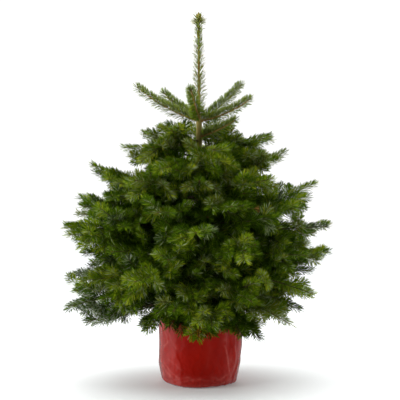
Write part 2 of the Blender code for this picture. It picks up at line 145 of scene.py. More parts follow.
# Boughs between the tiers, which fill the crown up to the same reach: for each tier below them,
# (height, bearing, length, rise at the trunk, rise at the tip)
BETWEEN_SEED = 907
BETWEEN_SEEDS_A_TIER = 100
BETWEEN_YEARS = 3
BETWEEN_SECTOR = 40.0
BETWEEN = (
    (),
    (),
    (
        (0.668, 226, 0.110, 4, 20),
        (0.628, 214, 0.150, 0, 14),
        (0.662, 84, 0.120, 12, 24),
        (0.646, 350, 0.116, 6, 16),
    ),
    (
        (0.648, 160, 0.178, 8, 22),
        (0.600, 336, 0.190, 2, 14),
        (0.535, 180, 0.300, -10, 26),
        (0.560, 192, 0.262, -6, 6),
        (0.600, 250, 0.185, -6, 6),
        (0.590, 292, 0.195, 0, 10),
        (0.605, 84, 0.190, 10, 22),
        (0.575, 352, 0.185, 0, 12),
        (0.545, 268, 0.200, -4, 8),
        (0.540, 70, 0.210, 4, 14),
        (0.648, 4, 0.196, 2, 18),
        (0.604, 194, 0.185, 2, 10),
    ),
    (
        (0.480, 184, 0.322, -3, 5),
        (0.462, 176, 0.342, -4, 4),
        (0.492, 5, 0.285, -2, 2),
        (0.515, 208, 0.275, -6, 6),
        (0.490, 248, 0.270, -8, 0),
        (0.500, 288, 0.265, -8, 2),
        (0.480, 330, 0.300, -4, 4),
        (0.510, 60, 0.265, 4, 16),
        (0.485, 96, 0.280, 2, 14),
        (0.500, 140, 0.280, 2, 14),
        (0.520, 305, 0.210, -6, 6),
        (0.515, 228, 0.210, -8, 2),
        (0.425, 203, 0.375, -6, 2),
        (0.470, 275, 0.200, -8, 2),
        (0.445, 216, 0.290, -6, 4),
    ),
    (
        (0.405, 177, 0.345, -4, 0),
        (0.385, 190, 0.315, -8, -2),
        (0.402, 355, 0.315, -2, 6),
        (0.390, 222, 0.300, -8, 0),
        (0.380, 254, 0.290, -8, -2),
        (0.395, 296, 0.300, -8, 2),
        (0.375, 332, 0.315, -6, 0),
        (0.390, 50, 0.320, 2, 12),
        (0.380, 118, 0.315, 0, 8),
        (0.322, 207, 0.350, -5, -4),
        (0.318, 216, 0.290, -6, -6),
        (0.362, 172, 0.312, -6, -6),
        (0.350, 352, 0.284, -4, -4),
    ),
    (
        (0.305, 182, 0.345, -10, -8),
        (0.312, 358, 0.305, -4, 2),
        (0.290, 340, 0.310, -8, -8),
        (0.300, 216, 0.310, -10, -10),
        (0.290, 258, 0.290, -10, -14),
        (0.300, 298, 0.300, -8, -10),
        (0.305, 34, 0.310, 0, -2),
        (0.300, 74, 0.310, 0, -2),
        (0.295, 146, 0.320, -4, -8),
        (0.240, 172, 0.315, -12, -21),
        (0.240, 306, 0.230, -8, -34),
        (0.240, 246, 0.200, -6, -28),
        (0.240, 84, 0.270, -2, -18),
        (0.285, 188, 0.352, -9, -12),
        (0.262, 318, 0.330, -4, -20),
        (0.235, 316, 0.235, -6, -38),
        (0.245, 233, 0.236, -2, -34),
        (0.240, 275, 0.240, -4, -38),
        (0.235, 190, 0.315, -6, -16),
    ),
)

# Finer shoots, which carry the rule on. A tier's number counts from 0 at the top.
FINE_SEED = 501
FINE_SEEDS_A_TIER = 100
END_CHANCE = 0.48
YOUNG_TIER = 1
HIGH_TIER = 3
LOW_TIER = 5
END_PLACES = (0.12, 0.42, 0.70)
END_LENGTH = (0.038, 0.064)
END_RISE = (-24.0, 30.0)
END_ROOM = 1.1
END_SPARE = 0.010
FINE_SHARE = (0.55, 0.78)
FINE_RISE = (-30.0, 32.0)
FINE_ROLL = (-35.0, 35.0)
SHORTEST_FINE = 0.026
MOST_ORDER = 3
FILL_CHANCE = 0.30
FILL_TILT = (22.0, 48.0)
FILL_LEAN = 55.0
HANG_CHANCE = (1.0, 1.0, 1.0, 1.0, 0.9, 0.8, 0.22)
FILL_LENGTH = (0.050, 0.084)
MOST_FILL_SHARE = 0.55
FILL_PLACES = (0.15, 0.85)
YOUNG_FILL_LENGTH = 0.05
OUTER_START = 0.45
INNER_KEPT = 0.55
MOST_OUT = 1.03
LIMB_OVERRUN = 0.001

# Open sky between the boughs, seen from the front: (left, right, lowest, highest) in the trunk's plane
VIEW_DISTANCE = 2.5
VIEW_HEIGHT = 0.505
SKY_GAPS = (
    (-0.271, -0.204, 0.586, 0.645),
    (-0.222, -0.160, 0.580, 0.606),
    (-0.136, -0.114, 0.130, 0.183),
    (-0.028, 0.018, 0.648, 0.738),
    (0.116, 0.149, 0.653, 0.701),
    (-0.349, -0.251, 0.525, 0.569),
    (-0.400, -0.338, 0.449, 0.511),
    (-0.400, -0.290, 0.343, 0.365),
    (-0.400, -0.173, 0.085, 0.163),
    (0.113, 0.208, 0.698, 0.763),
    (0.191, 0.278, 0.648, 0.707),
    (0.184, 0.278, 0.550, 0.611),
    (0.225, 0.362, 0.544, 0.583),
    (0.286, 0.376, 0.450, 0.480),
    (0.317, 0.390, 0.382, 0.415),
    (0.300, 0.390, 0.264, 0.331),
    (0.239, 0.376, 0.085, 0.169),
    (0.177, 0.278, 0.085, 0.141),
    (-0.204, -0.114, 0.698, 0.791),
    (-0.288, -0.176, 0.662, 0.712),
    (-0.394, -0.349, 0.228, 0.278),
    (-0.366, -0.290, 0.516, 0.533),
    (-0.306, -0.256, 0.218, 0.252),
    (-0.180, -0.130, 0.186, 0.228),
    (0.240, 0.284, 0.266, 0.294),
    (0.084, 0.142, 0.702, 0.763),
    (0.244, 0.290, 0.206, 0.231),
    (0.182, 0.245, 0.158, 0.180),
)

# Dry needles in the crown's front, seen from the front: (across, height, radius) in the trunk's plane
DRY_SPOTS = ((0.159, 0.480, 0.0075),)

# Twigs and buds
TWIG_RADIUS = 0.0007
TWIG_RADIUS_A_YEAR = 0.00038
TWIG_TIP_RADIUS = 0.0007
LIMB_TAPER = 0.6
FOOT_BARE = 0.006
BUD_LENGTH = 0.0058
BUD_RADIUS = 0.0015
LEADER_BUD = 3.7
LEADER_BUD_SPREAD = 0.40
BUD_SPREAD = 0.90

# Needles. A brush of 0 is a flat spray, 1 stands all round as on the leader, and more is its star.
LIMB_BRUSH = 0.40
TOP_BRUSH = 0.60
SIDE_BRUSH = 0.40
FINE_BRUSH = 0.45
LEADER_BRUSH = 1.0
STAR_BRUSH = 1.5
NEEDLES_BELOW = (24.0, 85.0)

# How many, how long and how wide
NEEDLES_A_METRE = 2500
TOP_NEEDLES_A_METRE = 3300
LEADER_NEEDLES_A_METRE = 2300
STAR_DENSITY = 6.0
FEWEST_NEEDLES = 6
KEPT_BY_AGE = (1.0, 0.92, 0.66, 0.38, 0.25)
GOLDEN_SHARE = 0.61803399
NEEDLE_SIDE_LENGTH = 0.0300
NEEDLE_TOP_LENGTH = 0.0240
NEEDLE_BRUSH_LENGTH = 0.0285
LEADER_LENGTH = 0.0270
YOUNG_LENGTH = 0.0270
STAR_LENGTH = 0.0245
YEAR_SHORTENING = 0.20
YEAR_START = 0.2
LENGTH_SPREAD = (0.86, 1.10)
NEEDLE_WIDTH = 0.0024
TOP_NEEDLE_WIDTH = 0.0026
LEADER_NEEDLE_WIDTH = 0.0021
NEEDLE_RIDGE = 0.00060
NEEDLE_WIDEST = 0.66

# How they lean out, in degrees
NEEDLE_SIDE_LEAN = 58.0
NEEDLE_TOP_LEAN = 40.0
NEEDLE_BRUSH_LEAN = 50.0
YOUNG_LEAN = 55.0
LEADER_LEAN = (58.0, 32.0)
STAR_LEAN = (58.0, 108.0)
LEAN_SPREAD = 6.0
LEADER_LEAN_SPREAD = 12.0

# How they fan at a tip, gather, turn and roll, and where on the twig's radius they start
TIP_FAN = 0.80
TIP_FAN_LENGTH = 0.012
YOUNG_GATHERING = 1.4
ANGLE_SPREAD = 0.10
NEEDLE_ROLL = 0.60
SKYWARD = Vector((0.0, 0.0, 0.5))
NEEDLE_SEAT = 0.7

# The leader runs on a little past the trunk's tip, and its star starts a little below it
LEADER_END = 0.004
STAR_DEPTH = 0.009

# Tiers from this age on have a back and a front piece of needles
SPLIT_YEARS = 4


class Path:
    """A limb's centre line. It sets out along a heading, and turns and lifts evenly over its length."""

    def __init__(self, start, heading, up, length, turn=0.0, lift=0.0):
        self.length = length
        heading = heading.normalized()
        side = up.cross(heading).normalized()
        point = start.copy()
        turn_a_step = math.radians(turn) / PATH_STEPS
        lift_a_step = math.radians(lift) / PATH_STEPS
        self.frames = []
        for _ in range(PATH_STEPS + 1):
            up = heading.cross(side)
            self.frames.append((point.copy(), heading.copy(), side.copy(), up.copy()))
            bend = Matrix.Rotation(turn_a_step, 3, up) @ Matrix.Rotation(-lift_a_step, 3, side)
            heading = (bend @ heading).normalized()
            side = (bend @ side).normalized()
            point = point + heading * (length / PATH_STEPS)

    def frame_at(self, distance):
        """Point, heading, side and up at a distance from the start, straight on past either end."""
        place = distance / self.length * PATH_STEPS
        first = min(max(int(place), 0), PATH_STEPS - 1)
        share = place - first
        point = self.frames[first][0].lerp(self.frames[first + 1][0], share)
        share = min(max(share, 0.0), 1.0)
        axes = [
            self.frames[first][i].lerp(self.frames[first + 1][i], share).normalized()
            for i in (1, 2, 3)
        ]
        return (point, *axes)

    def frames_at(self, distances):
        """The same for many distances at once, as four arrays."""
        table = np.array(self.frames, dtype=float)
        place = distances / self.length * PATH_STEPS
        first = np.clip(place.astype(int), 0, PATH_STEPS - 1)
        share = (place - first)[:, None]
        found = []
        for i in range(4):
            found.append(table[first, i] * (1 - share) + table[first + 1, i] * share)
        return [found[0]] + [unit(axis) for axis in found[1:]]

    def tip(self):
        return self.frames[-1][0]


def unit(rows):
    return rows / np.maximum(np.linalg.norm(rows, axis=-1, keepdims=True), LEAST_LENGTH)


def direction(bearing, rise):
    """The unit vector of a bearing and a rise above the horizon, in degrees."""
    b, r = math.radians(bearing), math.radians(rise)
    return Vector((math.cos(r) * math.cos(b), math.cos(r) * math.sin(b), math.sin(r)))


def branched(heading, up, angle, tilt):
    """A side shoot's heading: its parent's, turned to the side by an angle and tilted up."""
    level = Matrix.Rotation(angle, 3, up) @ heading
    return level * math.cos(tilt) + up * math.sin(tilt)


def rolled_up(heading, up, roll):
    """The upper side of a shoot that is rolled about its heading."""
    across = up.cross(heading).normalized()
    return Matrix.Rotation(roll, 3, heading) @ heading.cross(across)


def mix(a, b, share):
    return a + (b - a) * share


def trunk_centre(height):
    share = (height - TRUNK_FOOT.z) / (TRUNK_TIP.z - TRUNK_FOOT.z)
    return TRUNK_FOOT.lerp(TRUNK_TIP, share)


def trunk_radius(height):
    """The trunk's radius: flared at the foot, tapering to the top tier, then the thin leader."""
    if height >= LEADER_FOOT_HEIGHT:
        share = (height - LEADER_FOOT_HEIGHT) / (TRUNK_TIP.z - LEADER_FOOT_HEIGHT)
        return mix(LEADER_RADIUS, LEADER_TIP_RADIUS, share)
    if height >= TOP_TIER_HEIGHT:
        share = (height - TOP_TIER_HEIGHT) / (LEADER_FOOT_HEIGHT - TOP_TIER_HEIGHT)
        return mix(TOP_TIER_RADIUS, LEADER_RADIUS, share)
    above = height - TRUNK_FOOT.z
    share = above / (TOP_TIER_HEIGHT - TRUNK_FOOT.z)
    flare = FLARE_RADIUS * math.exp(-above / FLARE_HEIGHT)
    return mix(TRUNK_RADIUS, TOP_TIER_RADIUS, share) + flare


def limb_radius(years, share):
    """A limb's radius at a share of its length."""
    return mix(LIMB_RADIUS_AT_BIRTH + LIMB_RADIUS_A_YEAR * years, LIMB_TIP_RADIUS, share)


class Shoot:
    """A limb of any order: its path, its age in years, and how far round it the needles stand."""

    def __init__(self, path, years, order, tier, brush=0.0):
        self.path = path
        self.years = years
        self.order = order
        self.tier = tier
        self.brush = brush
        self.bearing = 0.0
        self.density = 1.0
        self.bare = FOOT_BARE
        self.end = path.length

    def radius_at(self, share):
        if self.order == 0:
            return limb_radius(self.years, share**LIMB_TAPER)
        return mix(TWIG_RADIUS + TWIG_RADIUS_A_YEAR * self.years, TWIG_TIP_RADIUS, share)


class Bough:
    """One limb of a tier, with the side shoots that branch from it in its own sector of the crown."""

    def __init__(self, tier, height, years, row, sector, index, seed):
        self.tier = tier
        self.years = years
        self.height = height
        self.bearing, self.length, rise, tip_rise = row
        self.random = random.Random(seed)
        self.first_rise = index % 2
        self.sector = sector
        heading = direction(self.bearing, rise)
        roll = math.radians(self.random.uniform(-MOST_ROLL, MOST_ROLL) / self.years)
        self.path = Path(
            trunk_centre(self.height),
            heading,
            Matrix.Rotation(roll, 3, heading) @ UP,
            self.length,
            turn=self.random.uniform(-MOST_SWEEP, MOST_SWEEP),
            lift=tip_rise - rise,
        )
        self.bare = self.length * min(BARE_SHARE / self.years, MOST_BARE)
        brush = TOP_BRUSH if self.years == 1 else LIMB_BRUSH
        self.limb = Shoot(self.path, self.years, 0, tier, brush)
        self.limb.end += LIMB_OVERRUN
        self.sides = list(self.grow_sides())

    def in_sector(self, point):
        away = point - trunk_centre(point.z)
        turned = math.degrees(math.atan2(away.y, away.x)) - self.bearing
        turned = (turned + 180) % 360 - 180
        return -self.sector[0] < turned < self.sector[1]

    def grow_sides(self):
        """A pair of side shoots at each year's node: by turns one rises while the other sinks.

        The solids leave out those under SHORTEST_SIDE. They grow here too, among the finer twigs.
        """
        for year in range(1, self.years):
            node = self.length * year / self.years
            start, heading, _, up = self.path.frame_at(node)
            for hand in (1, -1):
                rises = (year % 2 == self.first_rise) == (hand == 1)
                share = self.random.uniform(*SIDE_SHARE)
                angle = self.random.uniform(*SIDE_ANGLE) * hand
                tilt = math.radians(self.random.uniform(*(SIDE_RISE if rises else SIDE_SINK)))
                roll = math.radians(self.random.uniform(*SIDE_ROLL) * (hand if rises else -hand))
                length = (self.length - node) * share
                side_heading = branched(heading, up, math.radians(angle), tilt)
                side_up = rolled_up(side_heading, up, roll)
                lift = -SIDE_LEVELLING * math.degrees(tilt)
                for trial in TRIAL_SHARES:
                    path = Path(
                        start, side_heading, side_up, length * trial, -SIDE_TURN_BACK * hand, lift
                    )
                    short = length < SHORTEST_SIDE
                    if short or (path.length >= SHORTEST_SIDE and self.in_sector(path.tip())):
                        yield Shoot(path, self.years - year, 1, self.tier, SIDE_BRUSH)
                        break


def find_sector(bearings, index):
    """How far the sector reaches right and left of the bough, in degrees: half way to each neighbour."""
    count = len(bearings)
    if count == 1:
        return 180.0, 180.0
    right = (bearings[index] - bearings[index - 1]) % 360
    left = (bearings[(index + 1) % count] - bearings[index]) % 360
    return right / 2 - SECTOR_MARGIN, left / 2 - SECTOR_MARGIN


def tier_boughs(tier):
    """The boughs of one tier, as the solids have them."""
    height, years, rows = TIERS[tier]
    bearings = [row[0] for row in rows]
    return [
        Bough(
            tier,
            height + (WHORL_STAGGER if index % 2 else -WHORL_STAGGER),
            years,
            row,
            find_sector(bearings, index),
            index,
            BOUGH_SEEDS + BOUGH_SEEDS_A_TIER * tier + index,
        )
        for index, row in enumerate(rows)
    ]


def reach_at(tier, bearing):
    """How long the tier's boughs are towards a bearing, between its two nearest boughs."""
    rows = TIERS[tier][2]
    bearings = [row[0] for row in rows]
    lengths = [row[1] for row in rows]
    return float(np.interp(bearing % 360, bearings, lengths, period=360))


def between_boughs(tier):
    """The boughs that grow from the trunk between this tier and the one above it."""
    made = []
    for index, (height, *row) in enumerate(BETWEEN[tier]):
        sector = (BETWEEN_SECTOR, BETWEEN_SECTOR)
        seed = BETWEEN_SEED + BETWEEN_SEEDS_A_TIER * tier + index
        made.append(Bough(tier, height, BETWEEN_YEARS, row, sector, index, seed))
    return made


def outer_share(point):
    """How far out in the crown a point lies: 0 at the trunk and 1 at its reach."""
    away = point - trunk_centre(point.z)
    bearing = math.degrees(math.atan2(away.y, away.x))
    heights = [tier[0] for tier in TIERS][::-1]
    reaches = [reach_at(tier, bearing) for tier in range(len(TIERS))][::-1]
    return math.hypot(away.x, away.y) / float(np.interp(point.z, heights, reaches))


def in_sky_gap(point):
    """Whether a point lies in one of the open gaps between the boughs, seen from the front."""
    scale = VIEW_DISTANCE / (VIEW_DISTANCE + point.y)
    x = point.x * scale
    z = VIEW_HEIGHT + (point.z - VIEW_HEIGHT) * scale
    return any(left < x < right and low < z < high for left, right, low, high in SKY_GAPS)


def is_needed(shoot, draw):
    """Leaves out shoots past the crown's reach or in an open gap, and many of the finest deep inside."""
    if shoot.order < 1:
        return True
    if in_sky_gap(shoot.path.tip()):
        return False
    share = outer_share(shoot.path.tip())
    if share > MOST_OUT:
        return False
    return shoot.order < 2 or share > OUTER_START or draw.random() < INNER_KEPT


def end_shoots(parent, draw):
    """The small side shoots that stand along a shoot's last year."""
    last_year = parent.path.length / parent.years
    hand = draw.choice((1, -1))
    for place_share in END_PLACES:
        hand = -hand
        length = draw.uniform(*END_LENGTH)
        angle = math.radians(draw.uniform(*SIDE_ANGLE) * hand)
        tilt = math.radians(draw.uniform(*END_RISE))
        length = min(length, last_year * (1.0 - place_share) * END_ROOM + END_SPARE)
        chance = 1.0 if parent.order == 0 and parent.tier <= HIGH_TIER else END_CHANCE
        if draw.random() > chance or length < SHORTEST_FINE:
            continue
        node = parent.path.length - last_year * (1.0 - place_share)
        start, heading, _, up = parent.path.frame_at(node)
        path = Path(start, branched(heading, up, angle, tilt), up, length, -SIDE_TURN_BACK * hand, 0.0)
        yield Shoot(path, 1, max(parent.order + 1, 2), parent.tier, FINE_BRUSH)


def finer_shoots(parent, draw):
    """The shoots that branch from a shoot at its years' nodes, and from those in turn."""
    length = parent.path.length
    for year in range(1, parent.years):
        node = length * year / parent.years
        start, heading, _, up = parent.path.frame_at(node)
        for hand in (1, -1):
            share = draw.uniform(*FINE_SHARE)
            angle = math.radians(draw.uniform(*SIDE_ANGLE) * hand)
            tilt = math.radians(draw.uniform(*FINE_RISE))
            roll = math.radians(draw.uniform(*FINE_ROLL))
            fine_length = (length - node) * share
            if fine_length < SHORTEST_FINE or parent.order + 1 > MOST_ORDER:
                continue
            fine_heading = branched(heading, up, angle, tilt)
            fine_up = rolled_up(fine_heading, up, roll)
            path = Path(start, fine_heading, fine_up, fine_length, -SIDE_TURN_BACK * hand, 0.0)
            child = Shoot(path, parent.years - year, parent.order + 1, parent.tier, FINE_BRUSH)
            yield child
            yield from finer_shoots(child, draw)


def fill_shoots(parent, draw):
    """Shoots that rise or hang from a shoot's nodes, so that a tier isn't one flat layer."""
    for year in range(1, parent.years + 1):
        for sign in (1, -1):
            chance = FILL_CHANCE * (HANG_CHANCE[parent.tier] if sign < 0 else 1.0)
            if draw.random() > chance:
                continue
            length = draw.uniform(*FILL_LENGTH)
            length = min(length, parent.path.length * MOST_FILL_SHARE)
            node = parent.path.length * (year - draw.uniform(*FILL_PLACES)) / parent.years
            if length < SHORTEST_FINE:
                continue
            start, heading, side, up = parent.path.frame_at(node)
            tilt = math.radians(draw.uniform(*FILL_TILT))
            lean = math.radians(draw.uniform(-FILL_LEAN, FILL_LEAN))
            out = up * (math.cos(lean) * sign) + side * math.sin(lean)
            fill_heading = heading * math.cos(tilt) + out * math.sin(tilt)
            fill_up = fill_heading.cross(side).normalized()
            path = Path(start, fill_heading, fill_up, length, 0.0, 0.0)
            years = 2 if length > YOUNG_FILL_LENGTH else 1
            shoot = Shoot(path, years, max(parent.order + 1, 2), parent.tier, FINE_BRUSH)
            yield shoot
            yield from finer_shoots(shoot, draw)


def all_shoots():
    """Every shoot of the crown, bough by bough."""
    found = []
    for tier in range(len(TIERS)):
        for index, bough in enumerate(tier_boughs(tier) + between_boughs(tier)):
            draw = random.Random(FINE_SEED + FINE_SEEDS_A_TIER * tier + index)
            grown = [bough.limb]
            if bough.years > 1:
                bough.limb.bare = bough.bare
                grown += fill_shoots(bough.limb, draw)
                grown += end_shoots(bough.limb, draw)
            for side in bough.sides:
                grown.append(side)
                grown += finer_shoots(side, draw)
                grown += end_shoots(side, draw)
                if side.years > 1:
                    grown += fill_shoots(side, draw)
            grown = [shoot for shoot in grown if is_needed(shoot, draw)]
            for shoot in grown:
                shoot.bearing = bough.bearing
            found += grown
    return found


# Meshes from arrays

def new_mesh(name, points, faces, slots=None, smooth=False):
    """A mesh from points and a list of (corner arrays, one row a face), with each face's material slot."""
    mesh = bpy.data.meshes.new(name)
    counts = np.concatenate([np.full(len(rows), rows.shape[1]) for rows in faces])
    corners = np.concatenate([rows.ravel() for rows in faces]).astype(np.int32)
    mesh.vertices.add(len(points))
    mesh.vertices.foreach_set("co", np.ascontiguousarray(points, np.float32).ravel())
    mesh.loops.add(len(corners))
    mesh.loops.foreach_set("vertex_index", corners)
    mesh.polygons.add(len(counts))
    starts = np.concatenate([[0], np.cumsum(counts)[:-1]]).astype(np.int32)
    mesh.polygons.foreach_set("loop_start", starts)
    mesh.polygons.foreach_set("loop_total", counts.astype(np.int32))
    if slots is not None:
        mesh.polygons.foreach_set("material_index", np.concatenate(slots).astype(np.int32))
    mesh.update(calc_edges=True)
    if smooth:
        mesh.shade_smooth()
    return mesh


def place(name, mesh, materials, slot_name, *nodes):
    """Puts a piece in the scene: on the root body, for these nodes. The slot's name is not used."""
    piece = bpy.data.objects.new(name, mesh)
    bpy.context.scene.collection.objects.link(piece)
    for material in materials:
        mesh.materials.append(material)
    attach(piece, "root")
    if nodes:
        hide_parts(*nodes)
    return piece


# Needles

NEEDLE_TOP_FACES = np.array(((0, 2, 3), (0, 3, 1)))
NEEDLE_UNDER_FACES = np.array(((0, 1, 2), (1, 3, 2)))


def needle_angles(shoot, draw, numbers):
    """How far round the shoot each needle stands, by its number along the shoot."""
    turn = (numbers * GOLDEN_SHARE + draw.random()) % 1.0
    if shoot.brush >= LEADER_BRUSH:
        angle = turn * 2 * math.pi
    else:
        if shoot.tier <= YOUNG_TIER:
            turn = 0.5 + 0.5 * np.sign(turn - 0.5) * np.abs(2 * turn - 1) ** YOUNG_GATHERING
        below = mix(*NEEDLES_BELOW, shoot.brush)
        angle = np.radians(-below + turn * (180.0 + 2 * below))
    return angle + draw.normal(0, ANGLE_SPREAD, len(numbers))


def needle_leans(shoot, draw, topness, distance):
    """How far each needle leans out from the shoot, in degrees: those near the tip fan forward."""
    count = len(distance)
    if shoot.brush > LEADER_BRUSH:
        return draw.uniform(*STAR_LEAN, count)
    if shoot.brush == LEADER_BRUSH:
        lean = mix(*LEADER_LEAN, distance / shoot.path.length)
        return lean + draw.normal(0, LEADER_LEAN_SPREAD, count)
    lean = mix(mix(NEEDLE_SIDE_LEAN, NEEDLE_BRUSH_LEAN, shoot.brush), NEEDLE_TOP_LEAN, topness)
    if shoot.tier <= YOUNG_TIER:
        lean = YOUNG_LEAN
    near_tip = np.clip(1 - (shoot.end - distance) / TIP_FAN_LENGTH, 0, 1)
    lean = lean * (1.0 - TIP_FAN * near_tip * draw.random(count))
    return lean + draw.normal(0, LEAN_SPREAD, count)


def needle_lengths(shoot, topness, distance):
    """Each needle's length: shorter on top, and at both ends of a year's growth."""
    if shoot.brush > LEADER_BRUSH:
        size = STAR_LENGTH
    elif shoot.brush == LEADER_BRUSH:
        size = LEADER_LENGTH
    elif shoot.tier <= YOUNG_TIER:
        size = YOUNG_LENGTH
    else:
        size = mix(mix(NEEDLE_SIDE_LENGTH, NEEDLE_TOP_LENGTH, topness), NEEDLE_BRUSH_LENGTH, shoot.brush)
    phase = (distance / shoot.path.length * shoot.years) % 1.0
    fullness = np.sin(np.pi * np.clip(phase + YEAR_START, 0, 1))
    return size * (1 - YEAR_SHORTENING + YEAR_SHORTENING * fullness)


def needle_rows(shoot, draw, a_metre):
    """Base, direction, upper side, length and age of each needle of a shoot."""
    length = shoot.path.length
    count = max(int((shoot.end - shoot.bare) * a_metre), FEWEST_NEEDLES)
    share = (np.arange(count) + 0.5) / count
    distance = shoot.bare + (shoot.end - shoot.bare) * share
    year = np.clip((distance / length * shoot.years).astype(int), 0, shoot.years - 1)
    age = shoot.years - 1 - year
    kept = draw.random(count) < np.array(KEPT_BY_AGE)[np.minimum(age, len(KEPT_BY_AGE) - 1)]
    distance, age = distance[kept], age[kept]
    count = len(distance)
    if count == 0:
        return None
    point, heading, side, up = shoot.path.frames_at(distance)
    angle = needle_angles(shoot, draw, np.nonzero(kept)[0])
    topness = np.clip(np.sin(angle), 0, 1)
    lean = np.radians(needle_leans(shoot, draw, topness, distance))[:, None]
    size = needle_lengths(shoot, topness, distance) * draw.uniform(*LENGTH_SPREAD, count)
    out = side * np.cos(angle)[:, None] + up * np.sin(angle)[:, None]
    away = unit(heading * np.cos(lean) + out * np.sin(lean))
    sky = up * (1 - shoot.brush) + heading * shoot.brush + np.array(SKYWARD)
    sky = sky + draw.normal(0, NEEDLE_ROLL, (count, 3))
    upper = unit(sky - away * np.sum(sky * away, axis=1, keepdims=True))
    radius = np.array([shoot.radius_at(s) for s in distance / length])[:, None]
    return point + out * radius * NEEDLE_SEAT, away, upper, size, age


def needle_points(base, away, upper, size, width):
    """Four points a needle: its base, the two edges at its widest place, and its tip.

    The edges lie a little below the line from base to tip, which makes the needle's ridge.
    """
    right = np.cross(away, upper)
    size = size[:, None]
    half = width / 2
    widest = base + away * size * NEEDLE_WIDEST - upper * NEEDLE_RIDGE
    corners = (base, widest - right * half, widest + right * half, base + away * size)
    return np.stack(corners, axis=1)


def needle_mesh(name, rows, colours, underside, width):
    """One mesh of many needles. colours holds each needle's slot, and underside is the slot below, if any."""
    base, away, upper, size = (np.concatenate(part) for part in zip(*rows))
    points = needle_points(base, away, upper, size, width)
    count = len(points)
    offset = (np.arange(count) * points.shape[1])[:, None, None]
    faces = [(NEEDLE_TOP_FACES + offset).reshape(-1, 3)]
    slots = [np.repeat(colours, len(NEEDLE_TOP_FACES))]
    if underside is not None:
        faces.append((NEEDLE_UNDER_FACES + offset).reshape(-1, 3))
        slots.append(np.full(len(faces[1]), underside))
    return new_mesh(name, points.reshape(-1, 3), faces, slots)


# Twigs, limbs and buds

# A quad's corners in the order that turns it over
TURNED_OVER = (0, 3, 2, 1)


def ring_quads(rings, sides):
    """The quads between rings of points, each joined to the next."""
    ring = np.arange(sides)
    after = (ring + 1) % sides
    steps = [(k * sides, (k + 1) * sides) for k in range(rings - 1)]
    return np.concatenate([
        np.stack([low + ring, high + ring, high + after, low + after], axis=1) for low, high in steps
    ])


def fan(centre, start, sides, flipped=False):
    """The triangles between a point and a ring, by the numbers of the point and of the ring's first."""
    ring = start + np.arange(sides)
    after = np.roll(ring, -1)
    middle = np.full(sides, centre)
    return np.stack([middle, after, ring] if flipped else [middle, ring, after], axis=1)


def tube(path, distances, sides, radius):
    """Points, quads and end triangles of a tube with a ring at each distance along a path.

    radius(distance, angle) gives its surface.
    """
    point, _, side, up = path.frames_at(distances)
    turn = np.arange(sides) * 2 * math.pi / sides
    rings = []
    for k, distance in enumerate(distances):
        r = np.array([radius(distance, angle) for angle in turn])
        rings.append(
            point[k] + side[k] * (np.cos(turn) * r)[:, None] + up[k] * (np.sin(turn) * r)[:, None]
        )
    points = np.concatenate(rings + [point[:1], point[-1:]])
    last = (len(rings) - 1) * sides
    centre = len(rings) * sides
    caps = np.concatenate([fan(centre, 0, sides), fan(centre + 1, last, sides, flipped=True)])
    return points, ring_quads(len(rings), sides), caps


def joined(parts):
    """One set of points, quads and triangles from many."""
    points, quads, triangles = [], [], []
    offset = 0
    for part_points, part_quads, part_triangles in parts:
        points.append(part_points)
        quads.append(part_quads + offset)
        triangles.append(part_triangles + offset)
        offset += len(part_points)
    return np.concatenate(points), np.concatenate(quads), np.concatenate(triangles)


# A bud's sides, and its width at each share of its length
BUD_SIDES = 6
BUD_SHAPE = ((0.0, 0.55), (0.42, 1.0), (0.85, 0.48), (1.0, 0.10))


def bud(point, heading, length, radius):
    """A pointed ovoid bud."""
    path = Path(point, heading, heading.orthogonal().normalized(), length)
    shares, widths = np.array(BUD_SHAPE).T
    distances = shares * length
    return tube(path, distances, BUD_SIDES, lambda at, _: radius * np.interp(at, distances, widths))


# Materials

def new_material(name, colour, roughness):
    material = bpy.data.materials.new(name)
    material.use_nodes = True
    shader = material.node_tree.nodes["Principled BSDF"]
    shader.inputs["Base Color"].default_value = (*colour, 1.0)
    shader.inputs["Roughness"].default_value = roughness
    return material, material.node_tree, shader


def add_node(tree, kind, values=None, links=None, **settings):
    """A node with these settings, and with these values and links at its inputs."""
    node = tree.nodes.new(kind)
    for name, setting in settings.items():
        setattr(node, name, setting)
    for socket, value in (values or {}).items():
        node.inputs[socket].default_value = value
    for socket, source in (links or {}).items():
        tree.links.new(source, node.inputs[socket])
    return node


def add_noise(tree, scale, detail=3.0, stretch=None):
    """A noise texture on object coordinates, stretched along an axis where asked."""
    source = add_node(tree, "ShaderNodeTexCoord").outputs["Object"]
    if stretch:
        source = add_node(tree, "ShaderNodeMapping", {"Scale": stretch}, {"Vector": source}).outputs["Vector"]
    values = {"Scale": scale, "Detail": detail}
    return add_node(tree, "ShaderNodeTexNoise", values, {"Vector": source}).outputs["Fac"]


def add_range(tree, source, low, high, from_low=0.3, from_high=0.7):
    """Turns a source's range into one from low to high."""
    values = {"From Min": from_low, "From Max": from_high, "To Min": low, "To Max": high}
    return add_node(tree, "ShaderNodeMapRange", values, {"Value": source}).outputs["Result"]


def add_ramp(tree, source, stops):
    """Colours along a source's range, each with its place."""
    ramp = add_node(tree, "ShaderNodeValToRGB", links={"Fac": source})
    elements = ramp.color_ramp.elements
    while len(elements) < len(stops):
        elements.new(0.5)
    for element, (position, colour) in zip(elements, stops):
        element.position = position
        element.color = (*colour, 1.0)
    return ramp.outputs["Color"]


def add_bump(tree, shader, source, distance, strength=1.0):
    bump = add_node(tree, "ShaderNodeBump", {"Strength": strength, "Distance": distance}, {"Height": source})
    tree.links.new(bump.outputs["Normal"], shader.inputs["Normal"])


def add_roughness(tree, shader, source, low, high):
    tree.links.new(add_range(tree, source, low, high), shader.inputs["Roughness"])


